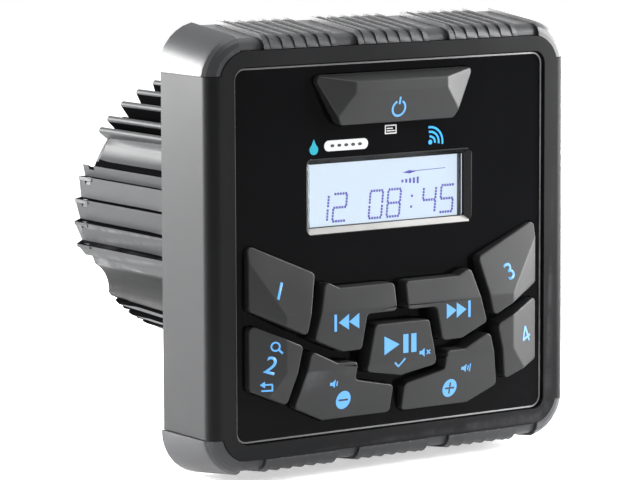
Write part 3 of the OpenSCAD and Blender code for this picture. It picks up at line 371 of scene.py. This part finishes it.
panelRimGlint = makePanelRimGlint()
displayLit = makeDisplayLit()
clearWindow = makeClearWindow()
print("materials made:", len(bpy.data.materials))


# Pieces: shared steps

mergeWithin = 0.002 * mm
flatWithin = math.radians(0.5)
smoothWithin = {"rounded": math.radians(40), "plain": math.radians(30)}


def choose(piece):
    bpy.ops.object.select_all(action="DESELECT")
    piece.select_set(True)
    bpy.context.view_layer.objects.active = piece


def editing(piece):
    choose(piece)
    bpy.ops.object.mode_set(mode="EDIT")
    bpy.ops.mesh.select_all(action="SELECT")


def done():
    bpy.ops.object.mode_set(mode="OBJECT")


def applyAll(piece):
    choose(piece)
    for modifier in list(piece.modifiers):
        bpy.ops.object.modifier_apply(modifier=modifier.name)


def rounded(piece, width, segments=2, angle=30, clamp=True):
    bevel = piece.modifiers.new("roundedEdges", "BEVEL")
    bevel.width = width * mm
    bevel.segments = segments
    bevel.limit_method = "ANGLE"
    bevel.angle_limit = math.radians(angle)
    bevel.use_clamp_overlap = clamp
    applyAll(piece)
    choose(piece)
    bpy.ops.object.shade_smooth_by_angle(angle=smoothWithin["rounded"])
    piece.modifiers.new("evenNormals", "WEIGHTED_NORMAL").keep_sharp = True
    applyAll(piece)


def dressed(node, material, slotName, width, segments=2, angle=30, body="receiver", clamp=True):
    source = nodes[node]
    skin = source.copy()
    skin.data = source.data.copy()
    skin.name = node + "_skin"
    bpy.context.collection.objects.link(skin)
    editing(skin)
    bpy.ops.mesh.remove_doubles(threshold=mergeWithin)
    bpy.ops.mesh.dissolve_limited(angle_limit=flatWithin)
    done()
    skin.data.materials.clear()
    skin.data.materials.append(material)
    if width:
        rounded(skin, width, segments, angle, clamp)
    else:
        choose(skin)
        bpy.ops.object.shade_smooth_by_angle(angle=smoothWithin["plain"])
    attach(skin, body)
    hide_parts(node)
    return skin


# The outside: CAD shapes with their edges rounded off, widths in millimetres

skins = [
    dict(node="bezel_frame", material=framePlastic, slotName="frame_plastic", width=0.35, angle=50),
    dict(node="top_grip", material=gripPlastic, slotName="grip_plastic", width=0.25, angle=14),
    dict(node="bottom_grip", material=gripPlastic, slotName="grip_plastic", width=0.25, angle=14),
    dict(node="front_panel", material=panelGloss, slotName="panel_gloss", width=0),
    dict(node="display_surround", material=surroundGloss, slotName="surround_gloss", width=0.15),
    dict(node="display_window", material=clearWindow, slotName="window_clear", width=0),
    dict(node="rear_housing", material=castHousing, slotName="cast_housing", width=0.25, angle=35),
    dict(node="rear_cover", material=coverPlastic, slotName="cover_plastic", width=0.3, angle=50),
    dict(node="harness_gland", material=blackRubber, slotName="gland_rubber", width=0.5,
         segments=3, angle=50),
    dict(node="aux_gland", material=blackRubber, slotName="gland_rubber", width=0.5, segments=3,
         angle=50),
    dict(node="antenna_socket", material=coverPlastic, slotName="cover_plastic", width=0.3,
         angle=50),
]
outside = {skin["node"]: dressed(**skin) for skin in skins}
panelSkin = outside["front_panel"]


def paint(skin, material, chosen):
    skin.data.materials.append(material)
    for face in skin.data.polygons:
        if chosen(face.center / mm, face.normal):
            face.material_index = len(skin.data.materials) - 1


# Painted highlight: the slopes below and left of the display get a pale colour that stands in for
# light glancing off them
ledge = {"below": 5.5, "leftOf": -24.5, "leastTilt": 0.3}


def onLedge(at, faces):
    lower = at.z < ledge["below"] and faces.z > ledge["leastTilt"]
    left = at.x < ledge["leftOf"] and faces.x < -ledge["leastTilt"]
    return lower or left


def onWindowSide(at, faces):
    return abs(faces.y) < 0.5


# Painted shade on the housing: its fin gaps, ridge steps and flute walls get darker colours where
# shade falls. Levels are degrees above its middle, depths are radii
gaps = {
    "behind": 4.7, "leastEndTilt": 0.7,
    "finsPast": 40, "fins": (29, 36.6),
    "flute": (16, 26), "fluteIn": 29, "fluteTilt": 0.35,
    "ridgeIn": 34, "ridgeTilt": 0.7,
    "lowFlute": (-43, -24), "lowFluteDepth": (28, 36.6),
}


def levelAndDepth(at):
    return math.degrees(math.atan2(at.z, abs(at.x))), math.hypot(at.x, at.z)


def inLowFluteShade(at, faces):
    level, depth = levelAndDepth(at)
    (low, high), (near, far) = gaps["lowFlute"], gaps["lowFluteDepth"]
    return at.y > gaps["behind"] and low < level < high and near < depth < far


def inHousingShade(at, faces):
    if at.y < gaps["behind"] or abs(faces.y) > gaps["leastEndTilt"]:
        return False
    level, depth = levelAndDepth(at)
    if abs(level) > gaps["finsPast"]:
        return gaps["fins"][0] < depth < gaps["fins"][1]
    low, high = gaps["flute"]
    if level > low:
        return level < high and depth > gaps["fluteIn"] and faces.z > gaps["fluteTilt"]
    return depth > gaps["ridgeIn"] and faces.z > gaps["ridgeTilt"]


# painted highlight on the surround's lower and left slopes
paint(outside["display_surround"], ledgeGlintPaint, onLedge)
paint(outside["display_window"], surroundGloss, onWindowSide)
# painted shade on the housing's lower flutes, then in its gaps, steps and upper flute walls
paint(outside["rear_housing"], housingHalfShade, inLowFluteShade)
paint(outside["rear_housing"], housingDeepShade, inHousingShade)
print("outside dressed")

keyNames = ["power", "source", "band", "previous", "next", "play", "volume_down", "volume_up",
            "preset", "audio"]
keyShape = {"edge": 0.38, "segments": 3, "leastAngle": 8, "skirtTilt": 0.35}


def dressKey(name):
    key = dressed(name + "_key", keyPlastic, "key_plastic", keyShape["edge"],
                  keyShape["segments"], keyShape["leastAngle"], name + "_button", clamp=False)
    key.data.materials.append(keySkirt)
    for face in key.data.polygons:
        if abs(face.normal.y) < keyShape["skirtTilt"]:
            face.material_index = 1
    return key


keySkins = {name: dressKey(name) for name in keyNames}
print("keys dressed")

# CAD nodes that keep their own mesh and only get a material
plain = {
    "panel_seal": blackRubber, "lcd_glass": displayLit,
    "backlight": milkyGuide, "lcd_holder": whitePlastic, "key_mat": paleSilicone,
    "tact_switches": tinnedSteel, "key_lights": milkyGuide, "front_board": greenBoard,
    "front_connector": creamPlastic, "processor_chip": chipPlastic, "board_screws": turnedSteel,
    "panel_screws": turnedSteel, "dash_gasket": blackRubber, "body_seal": blackRubber,
    "body_screws": turnedSteel, "main_board": greenBoard, "main_connector": creamPlastic,
    "flat_cable": flatWhite, "amplifier_chip": chipPlastic, "thermal_pad": heatPad,
    "amplifier_clamp": turnedSteel, "clamp_screw": turnedSteel,
    "filter_capacitors": blueSleeve, "power_coil": copperWire, "tuner_module": tinnedSteel,
    "wireless_module": tinnedSteel, "signal_chip": chipPlastic, "harness_header": creamPlastic,
    "cover_seal": blackRubber, "cover_screws": turnedSteel, "antenna_nut": turnedSteel,
    "bracket_studs": turnedSteel,
}
for node, material in plain.items():
    for spot in nodes[node].material_slots:
        spot.material = material


# Flat shapes for symbols and prints: each is drawn upright in front of the panel, with sizes
# in millimetres and its turn in degrees

drawnAt = -30 * mm
riseEach = 0.005  # each shape of a symbol lies this much higher than the one before
digitShape = {"capHeight": 0.69, "boldness": 0.012}
fourBars = ((0.17, 0, 0.15, 1.0, 0), (0.0, -0.2, 0.74, 0.15, 0), (-0.1, 0.14, 0.14, 0.82, -36))


def facing(turn=0):
    return (math.pi / 2, -math.radians(turn), 0)


def settle(name, *drawn):
    bpy.ops.object.select_all(action="DESELECT")
    for piece in drawn:
        piece.select_set(True)
    bpy.context.view_layer.objects.active = drawn[0]
    if len(drawn) > 1:
        bpy.ops.object.join()
    whole = bpy.context.object
    whole.name = name
    bpy.ops.object.transform_apply(location=True, rotation=True, scale=True)
    return whole


def drawDisc(x, z, across, up=None, corners=40, turn=0):
    bpy.ops.mesh.primitive_circle_add(vertices=corners, radius=1, fill_type="NGON",
                                      location=(x * mm, drawnAt, z * mm), rotation=facing(turn))
    disc = bpy.context.object
    disc.scale = (across * mm, (up or across) * mm, 1)
    return disc


def drawBar(x, z, width, height, turn=0):
    bpy.ops.mesh.primitive_plane_add(size=1, location=(x * mm, drawnAt, z * mm),
                                     rotation=facing(turn))
    bar = bpy.context.object
    bar.scale = (width * mm, height * mm, 1)
    return bar


def drawRing(x, z, radius, width, gap=(0, 0)):
    bpy.ops.mesh.primitive_circle_add(vertices=72, radius=radius * mm,
                                      location=(x * mm, drawnAt, z * mm), rotation=facing())
    ring = bpy.context.object
    editing(ring)
    bpy.ops.mesh.extrude_edges_move()
    bpy.ops.transform.resize(value=[(radius - width) / radius] * 3)
    done()
    bpy.ops.object.transform_apply(location=False, rotation=True, scale=True)
    for face in ring.data.polygons:
        angle = math.degrees(math.atan2(face.center.z, face.center.x)) % 360
        face.select = gap[0] < angle < gap[1]
    if any(face.select for face in ring.data.polygons):
        bpy.ops.object.mode_set(mode="EDIT")
        bpy.ops.mesh.select_mode(type="FACE")
        bpy.ops.mesh.delete(type="FACE")
        bpy.ops.mesh.select_mode(type="VERT")
        done()
    return ring


def drawTriangle(x, z, width, height, turn=0):
    # a disc of three corners is 1.5 radii long and 3 ** 0.5 radii wide
    lean = math.radians(turn)
    return drawDisc(x - math.cos(lean) * width / 6, z - math.sin(lean) * width / 6,
                    height / 3 ** 0.5, width / 1.5, 3, turn - 90)


def drawFour(x, z, height, turn):
    lean = math.radians(turn)
    return [drawBar(x + height * (u * math.cos(lean) - v * math.sin(lean)),
                    z + height * (u * math.sin(lean) + v * math.cos(lean)),
                    width * height, tall * height, turn + tilt)
            for u, v, width, tall, tilt in fourBars]


def drawDigit(x, z, digit, height, turn=0):
    if digit == "4":
        return drawFour(x, z, height, turn)
    bpy.ops.object.text_add(location=(x * mm, drawnAt, z * mm), rotation=facing(turn))
    text = bpy.context.object
    text.data.body = digit
    text.data.size = height / digitShape["capHeight"] * mm
    text.data.align_x = "CENTER"
    text.data.align_y = "CENTER"
    text.data.offset = digitShape["boldness"] * height * mm
    bpy.ops.object.convert(target="MESH")
    return [bpy.context.object]


def faceForward(piece):
    choose(piece)
    bpy.context.tool_settings.mesh_select_mode = (False, False, True)
    for face in piece.data.polygons:
        face.select = face.normal.y > 0
    bpy.ops.object.mode_set(mode="EDIT")
    bpy.ops.mesh.flip_normals()
    bpy.ops.mesh.select_mode(type="VERT")
    done()


def project(part, target, cuts, step):
    settle("part", part)
    editing(part)
    bpy.ops.mesh.remove_doubles(threshold=mergeWithin)
    for point, normal in cuts:
        bpy.ops.mesh.select_all(action="SELECT")
        bpy.ops.mesh.bisect(plane_co=[c * mm for c in point], plane_no=normal)
    done()
    wrap = part.modifiers.new("ontoFace", "SHRINKWRAP")
    wrap.target = target
    wrap.wrap_method = "PROJECT"
    wrap.use_project_x = wrap.use_project_z = False
    wrap.use_project_y = True
    wrap.use_positive_direction = True
    wrap.use_negative_direction = False
    wrap.offset = step * riseEach * mm
    applyAll(part)


def thicken(mark, thickness, material, body):
    faceForward(mark)
    film = mark.modifiers.new("film", "SOLIDIFY")
    film.thickness = thickness * mm
    film.offset = 1
    applyAll(mark)
    mark.data.materials.clear()
    mark.data.materials.append(material)
    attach(mark, body)


def lay(name, drawn, target, material, body, cuts=(), thickness=0.04):
    for step, part in enumerate(drawn):
        project(part, target, cuts, step)
    thicken(settle(name, *drawn), thickness, material, body)


def standAt(name, drawn, depth, thickness, material):
    flat = settle(name, *drawn)
    editing(flat)
    bpy.ops.transform.translate(value=(0, depth * mm - drawnAt, 0))
    done()
    thicken(flat, thickness, material, "receiver")


# Lit symbols on the keys. Their shapes are cut where the keys' slopes begin.

crownCuts = [((35.4, 0, 0), (1, 0, 0)), ((-35.4, 0, 0), (1, 0, 0)), ((0, 0, -15.1), (0, 0, 1)),
             ((0, 0, -29.6), (0, 0, 1))]
symbols = {
    "powerAt": (-0.4, 34.8), "powerRing": 2.2, "powerLine": 0.55, "powerBar": 1.9,
    "powerSink": 0.2, "powerGap": (66, 114),
    "digits": {"source": ("1", -36.6, -8.9, -22), "band": ("2", -39.4, -27.3, -18),
               "preset": ("3", 34.9, -9.6, 24), "audio": ("4", 40.4, -26.6, 24)},
    "digitHeight": 4.3,
    "skipLow": -20.1, "skipHigh": -15.8, "skipSteps": (0.95, 4.1), "skipWidth": 3.1,
    "skipShare": 0.92, "skipBarStep": 6.6, "skipBar": 0.75,
    "playLow": -27.5, "playHigh": -22.7, "playAt": -3.4, "playWidth": 4.7,
    "pauseAt": (0.9, 3.4), "pauseWidth": 1.6,
    "check": ((-1.9, -30.2, 1.5, 0.45, -45), (-0.3, -29.9, 2.9, 0.45, 45)),
    "minusAt": (-17.0, -38.1), "plusAt": (16.3, -38.4), "signRadius": 2.4,
    "signNarrow": 0.92, "signBar": (2.9, 0.5), "signPost": (0.5, 3.0), "signRise": 0.06,
    "speakers": ((-20.6, -33.5), (20.3, -33.4)), "speakerSize": 2.3,
    "waves": ((0.95, 0.32, 1.3), (1.6, 0.32, 2.1)),
    "muteAt": (7.0, -27.9), "muteSize": 2.4, "muteBack": 0.6, "muteStep": 1.0,
    "muteSlash": (1.5, 0.36),
    "lensAt": (-38.2, -22.4), "lensRing": (1.25, 0.42), "lensHandle": (1.5, 0.5),
    "arrowAt": (-40.5, -32.3), "arrowHead": (-1.0, 0.45, 1.3, 1.7),
    "arrowBars": ((0.5, 0.45, 2.0, 0.42), (1.45, -0.3, 0.42, 1.5), (0.2, -1.05, 2.9, 0.42)),
}


def glow(name, key, drawn):
    lay(name, drawn, keySkins[key], keyGlow, key + "_button", crownCuts)


def powerSymbol():
    x, z = symbols["powerAt"]
    radius, line = symbols["powerRing"], symbols["powerLine"]
    glow("power_symbol", "power", [
        drawRing(x, z, radius, line, symbols["powerGap"]),
        drawBar(x, z + radius - symbols["powerSink"], line, symbols["powerBar"])])


def skipSymbol(name, key, side, start):
    low, high = symbols["skipLow"], symbols["skipHigh"]
    middle, height = (low + high) / 2, high - low
    arrows = [drawTriangle(start + side * step, middle, symbols["skipWidth"],
                           height * symbols["skipShare"], 0 if side > 0 else 180)
              for step in symbols["skipSteps"]]
    stop = drawBar(start + side * symbols["skipBarStep"], middle, symbols["skipBar"], height)
    glow(name, key, arrows + [stop])


def speaker(x, z, size):
    return [drawBar(x - 0.36 * size, z, 0.3 * size, 0.36 * size),
            drawTriangle(x - 0.12 * size, z, 0.55 * size, 0.95 * size, 180)]


def playSymbol():
    low, high = symbols["playLow"], symbols["playHigh"]
    middle, height = (low + high) / 2, high - low
    x, z = symbols["muteAt"]
    slash = [drawBar(x + symbols["muteStep"], z, *symbols["muteSlash"], turn)
             for turn in (45, -45)]
    arrow = drawTriangle(symbols["playAt"], middle, symbols["playWidth"], height)
    pause = [drawBar(at, middle, symbols["pauseWidth"], height) for at in symbols["pauseAt"]]
    glow("play_symbol", "play", [arrow] + pause)
    glow("mute_symbol", "play", speaker(x - symbols["muteBack"], z, symbols["muteSize"]) + slash)
    glow("enter_symbol", "play", [drawBar(*bar) for bar in symbols["check"]])


def signOn(kind, key, bars):
    x, z = symbols[kind + "At"]
    radius = symbols["signRadius"]
    glow(kind + "_disc", key, [drawDisc(x, z, radius * symbols["signNarrow"], radius)])
    lay(kind + "_sign", [drawBar(x, z, *symbols[bar]) for bar in bars], keySkins[key], keySkirt,
        key + "_button", crownCuts, symbols["signRise"])


def volumeSymbols():
    signOn("minus", "volume_down", ["signBar"])
    signOn("plus", "volume_up", ["signBar", "signPost"])
    keys = (("quieter_symbol", "volume_down"), ("louder_symbol", "volume_up"))
    for count, ((name, key), (x, z)) in enumerate(zip(keys, symbols["speakers"]), 1):
        waves = [drawBar(x + step, z, width, height)
                 for step, width, height in symbols["waves"][:count]]
        glow(name, key, speaker(x, z, symbols["speakerSize"]) + waves)


def cornerKeySymbols():
    for key, (digit, x, z, turn) in symbols["digits"].items():
        glow(key + "_digit", key, drawDigit(x, z, digit, symbols["digitHeight"], turn))
    x, z = symbols["lensAt"]
    radius, line = symbols["lensRing"]
    glow("lens_symbol", "band", [drawRing(x, z, radius, line),
                                 drawBar(x + radius, z - radius, *symbols["lensHandle"], -45)])
    x, z = symbols["arrowAt"]
    across, up, width, height = symbols["arrowHead"]
    glow("back_symbol", "band", [drawTriangle(x + across, z + up, width, height, 180)] + [
        drawBar(x + across, z + up, width, height)
        for across, up, width, height in symbols["arrowBars"]])


powerSymbol()
skipSymbol("previous_symbol", "previous", -1, -14.1)
skipSymbol("next_symbol", "next", 1, 14.4)
playSymbol()
volumeSymbols()
cornerKeySymbols()
print("key symbols laid")

# Prints on the panel: a drop and a plain label, radio waves and a small screen

prints = {
    "rise": 0.02,
    "dropAt": (-23.9, 25.9), "dropDisc": (-0.5, 1.3), "dropTip": (1.0, 2.4, 2.1),
    "plateAt": (-14.1, 26.1), "plateSize": (13.4, 2.7),
    "markPitch": 2.1, "markSize": (0.62, 0.4), "markRise": 0.03,
    "wavesAt": (12.0, 25.2), "waveRadii": (1.7, 2.9, 4.1), "waveWidth": 0.55,
    "waveGap": (100, 350), "waveDot": 0.6,
    "screenAt": (-0.4, 29.2),
    "screenBars": ((0, 1.0, 3.6, 0.3), (0, -1.0, 3.6, 0.3), (-1.65, 0, 0.3, 2.3),
                   (1.65, 0, 0.3, 2.3), (-0.3, 0.25, 1.9, 0.28), (0, -0.35, 2.5, 0.28)),
}


def printOnPanel(name, drawn, material, rise=prints["rise"]):
    lay(name, drawn, panelSkin, material, "receiver", (), rise)


def panelPrints():
    x, z = prints["dropAt"]
    (low, radius), (high, width, height) = prints["dropDisc"], prints["dropTip"]
    printOnPanel("drop_print", [drawDisc(x, z + low, radius),
                                drawTriangle(x, z + high, width, height, 90)], printTeal)
    x, z = prints["plateAt"]
    width, height = prints["plateSize"]
    ends = [drawDisc(x + side * (width - height) / 2, z, height / 2) for side in (-1, 1)]
    printOnPanel("label_plate", [drawBar(x, z, width - height, height)] + ends, printWhite)
    marks = [drawDisc(x + prints["markPitch"] * i, z, *prints["markSize"]) for i in range(-2, 3)]
    printOnPanel("label_waves", marks, keySkirt, prints["markRise"])
    x, z = prints["wavesAt"]
    arcs = [drawRing(x, z, radius, prints["waveWidth"], prints["waveGap"])
            for radius in prints["waveRadii"]]
    printOnPanel("waves_print", [drawDisc(x, z, prints["waveDot"])] + arcs, printBlue)
    x, z = prints["screenAt"]
    printOnPanel("screen_print", [drawBar(x + across, z + up, width, height)
                                  for across, up, width, height in prints["screenBars"]],
                 printWhite)


panelPrints()
print("panel printed")

# Edge round the panel, with a painted highlight on its right
panelEdge = {"half": (47.6, 46.7), "cornerRadius": 3, "cornerSteps": 12, "width": 0.42,
             "front": -21.13, "depth": 0.3}


def addPanelEdge():
    (across, up), width = panelEdge["half"], panelEdge["width"]
    edge = drawBar(0, 0, 2 * across, 2 * up)
    choose(edge)
    bpy.ops.object.transform_apply(location=True, rotation=True, scale=True)
    editing(edge)
    bpy.ops.mesh.bevel(offset=panelEdge["cornerRadius"] * mm,
                       segments=panelEdge["cornerSteps"], affect="VERTICES")
    bpy.ops.mesh.select_mode(type="FACE")
    bpy.ops.mesh.select_all(action="SELECT")
    bpy.ops.mesh.inset(thickness=width * mm)
    bpy.ops.mesh.delete(type="FACE")
    bpy.ops.mesh.select_all(action="SELECT")
    bpy.ops.transform.translate(value=(0, panelEdge["front"] * mm - drawnAt, 0))
    bpy.ops.mesh.select_mode(type="VERT")
    done()
    faceForward(edge)
    depth = edge.modifiers.new("depth", "SOLIDIFY")
    depth.thickness = panelEdge["depth"] * mm
    depth.offset = -1
    applyAll(edge)
    edge.name = "panel_edge"
    edge.data.materials.append(panelRimGlint)
    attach(edge, "receiver")


addPanelEdge()
print("panel edge made")

# What the display shows: dotted figures, a level mark and the dark mask round them

display = {
    "glassAt": -18.2, "middle": (-0.5, 13.5), "lit": (45.9, 15.9), "outer": (48.4, 16.5),
    "lift": 0.02, "inkDepth": 0.02, "maskDepth": 0.05,
    "show": "12 08:45", "start": -22.1, "pitch": 5.57, "low": 6.6, "width": 3.9, "height": 6.9,
    "dot": (0.6, 0.6), "slant": 0.1, "colon": ((0.5, 0.3), (0.5, 0.7)),
    "levelAt": (5.2, 17.7), "wedge": (2.2, -0.05, 2.2, 0.42), "wedgeTurn": 2,
    "line": (8.4, 0.2, 10.2, 0.16), "lineTurn": 1,
    "ticks": 5, "tickPitch": 1.2, "tickDrop": 2.3, "tickWidth": 0.62, "tickHeight": (0.7, 0.25),
}
strokes = {
    "0": "abcdef", "1": "bc", "2": "abged", "4": "fgbc", "5": "afgcd", "8": "abcdefg",
}
dotsAcross = [0.08, 0.29, 0.5, 0.71, 0.92]
dotsUpper = [0.58, 0.69, 0.80, 0.91]
dotsLower = [0.09, 0.20, 0.31, 0.42]
strokeDots = {
    "a": [(u, 1.0) for u in dotsAcross], "g": [(u, 0.5) for u in dotsAcross],
    "d": [(u, 0.0) for u in dotsAcross], "f": [(0, v) for v in dotsUpper],
    "b": [(1, v) for v in dotsUpper], "e": [(0, v) for v in dotsLower],
    "c": [(1, v) for v in dotsLower],
}


def displayDots():
    places = []
    for cell, sign in enumerate(display["show"]):
        dots = [dot for stroke in strokes.get(sign, "") for dot in strokeDots[stroke]]
        if sign == ":":
            dots = display["colon"]
        for u, v in dots:
            z = display["low"] + v * display["height"]
            x = (display["start"] + cell * display["pitch"] + u * display["width"]
                 + v * display["height"] * display["slant"])
            places.append((x, z))
    return places


def onDisplay(name, drawn, thickness, material):
    standAt(name, drawn, display["glassAt"] - display["lift"], thickness, material)


def copyOf(model, x, z):
    twin = model.copy()
    twin.data = model.data.copy()
    twin.location = (x * mm, model.location[1], z * mm)
    bpy.context.collection.objects.link(twin)
    return twin


def figures():
    places = displayDots()
    first = drawBar(*places[0], *display["dot"])
    dots = [first] + [copyOf(first, x, z) for x, z in places[1:]]
    onDisplay("display_figures", dots, display["inkDepth"], segmentInk)


def levelMark():
    x, z = display["levelAt"]
    across, up, width, height = display["wedge"]
    wedge = drawDisc(x + across, z + up, width, height, 4, display["wedgeTurn"])
    across, up, width, height = display["line"]
    line = drawBar(x + across, z + up, width, height, display["lineTurn"])
    least, growth = display["tickHeight"]
    ticks = [drawBar(x + display["tickPitch"] * i, z - display["tickDrop"], display["tickWidth"],
                     least + growth * i) for i in range(display["ticks"])]
    onDisplay("display_level", [wedge, line] + ticks, display["inkDepth"], segmentInk)


def maskRing():
    x, z = display["middle"]
    (inW, inH), (outW, outH) = display["lit"], display["outer"]
    side, top = (outW - inW) / 2, (outH - inH) / 2
    bars = [drawBar(x, z + (inH + top) / 2, outW, top), drawBar(x, z - (inH + top) / 2, outW, top),
            drawBar(x + (inW + side) / 2, z, side, inH),
            drawBar(x - (inW + side) / 2, z, side, inH)]
    onDisplay("display_mask", bars, display["maskDepth"], displayMask)


figures()
levelMark()
maskRing()
print("display drawn")

# Painted shade for the cross recesses in the screw heads behind: flat black crosses stand for the
# shade inside them. Where they are across, up and along
recesses = {"cover": (12.4, 21.5, 70.85), "panel": (42.0, 41.0, -0.55), "length": 3.0,
            "width": 0.75, "thickness": 0.1}


def addRecessShade(kind):
    (across, up, depth), length, width = recesses[kind], recesses["length"], recesses["width"]
    middle, arm = (length + width) / 4, (length - width) / 2
    bars = []
    for x in (-across, across):
        for z in (-up, up):
            bars += [drawBar(x, z, length, width), drawBar(x, z + middle, width, arm),
                     drawBar(x, z - middle, width, arm)]
    # painted shade: black crosses laid on the screw heads
    standAt(kind + "_screw_recess_shade", bars, depth, recesses["thickness"], blackRubber)


addRecessShade("cover")
addRecessShade("panel")
print("screw recesses marked")

# Lights, world and floor, with places in metres and power in watts

lamps = [
    dict(name="leftSoftbox", place=(-0.40, 0.48, 0.14), aim=(-0.05, 0, 0.02), size=(0.40, 0.30),
         power=5.4, spread=100),
    dict(name="topSoftbox", place=(0.15, 0.0, 1.1), aim=(0, 0, 0), size=(0.8, 0.8), power=9),
    dict(name="backSoftbox", place=(0.75, 1.15, 0.30), aim=(0, 0, 0.05), size=(0.9, 0.45),
         power=2),
    dict(name="rightSoftbox", place=(0.205, -0.11, 0.06), aim=(0.05, -0.02, 0.01),
         size=(0.09, 0.20), power=0.5, spread=100),
    dict(name="edgeSoftbox", place=(0.75, 0.20, 0.0), aim=(0.055, 0, 0), size=(0.35, 0.5),
         power=6, spread=90),
]
studio = {"ambient": 0.28, "seen": 1.0, "floorSize": 8, "floorAt": -57.5, "floorSeen": 0.55,
          "floorDark": (0.83, 0.83, 0.83), "floorLight": (0.87, 0.87, 0.87)}


def addLamp(name, place, aim, size, power, spread=180):
    bpy.ops.object.light_add(type="AREA", location=place)
    lamp = bpy.context.object
    lamp.name = name
    lamp.data.shape = "RECTANGLE"
    lamp.data.size, lamp.data.size_y = size
    lamp.data.energy = power
    lamp.data.spread = math.radians(spread)
    lamp.visible_camera = False
    lamp.rotation_euler = (Vector(aim) - Vector(place)).to_track_quat("-Z", "Y").to_euler()


def seenRays(tree):
    rays = tree.nodes.new("ShaderNodeLightPath")
    seen = rays.outputs["Is Camera Ray"]
    for other in ("Is Glossy Ray", "Is Transmission Ray"):
        most = addNode(tree, "Math", {"operation": "MAXIMUM"})
        tree.links.new(seen, most.inputs[0])
        tree.links.new(rays.outputs[other], most.inputs[1])
        seen = most.outputs[0]
    return seen


def makeWorld():
    world = bpy.context.scene.world or bpy.data.worlds.new("studio")
    bpy.context.scene.world = world
    world.use_nodes = True
    tree = world.node_tree
    room = tree.nodes["Background"]
    room.inputs["Color"].default_value = (1, 1, 1, 1)
    level = tree.nodes.new("ShaderNodeMapRange")
    level.inputs["To Min"].default_value = studio["ambient"]
    level.inputs["To Max"].default_value = studio["seen"]
    tree.links.new(seenRays(tree), level.inputs["Value"])
    tree.links.new(level.outputs["Result"], room.inputs["Strength"])


def makeFloor():
    bpy.ops.mesh.primitive_plane_add(size=studio["floorSize"],
                                     location=(0, 0, studio["floorAt"] * mm))
    floor = bpy.context.object
    floor.name = "paleFloor"
    material, tree, shader = startMaterial("palePaper")
    paper = addGroup(tree, mouldedGrain, Grain=300.0, Bump=0.02, Roughness=0.85, Spread=0.05)
    shade = mixColor(tree, paper.outputs["Mottle"], studio["floorDark"], studio["floorLight"])
    tree.links.new(shade, shader.inputs["Base Color"])
    lift = addNode(tree, "Math", {"operation": "MULTIPLY"})
    tree.links.new(seenRays(tree), lift.inputs[0])
    lift.inputs[1].default_value = studio["floorSeen"]
    tree.links.new(lift.outputs[0], shader.inputs["Emission Strength"])
    shader.inputs["Emission Color"].default_value = (1, 1, 1, 1)
    floor.data.materials.append(material)


for lamp in lamps:
    addLamp(**lamp)
makeWorld()
makeFloor()
bpy.context.scene.view_settings.view_transform = "Standard"
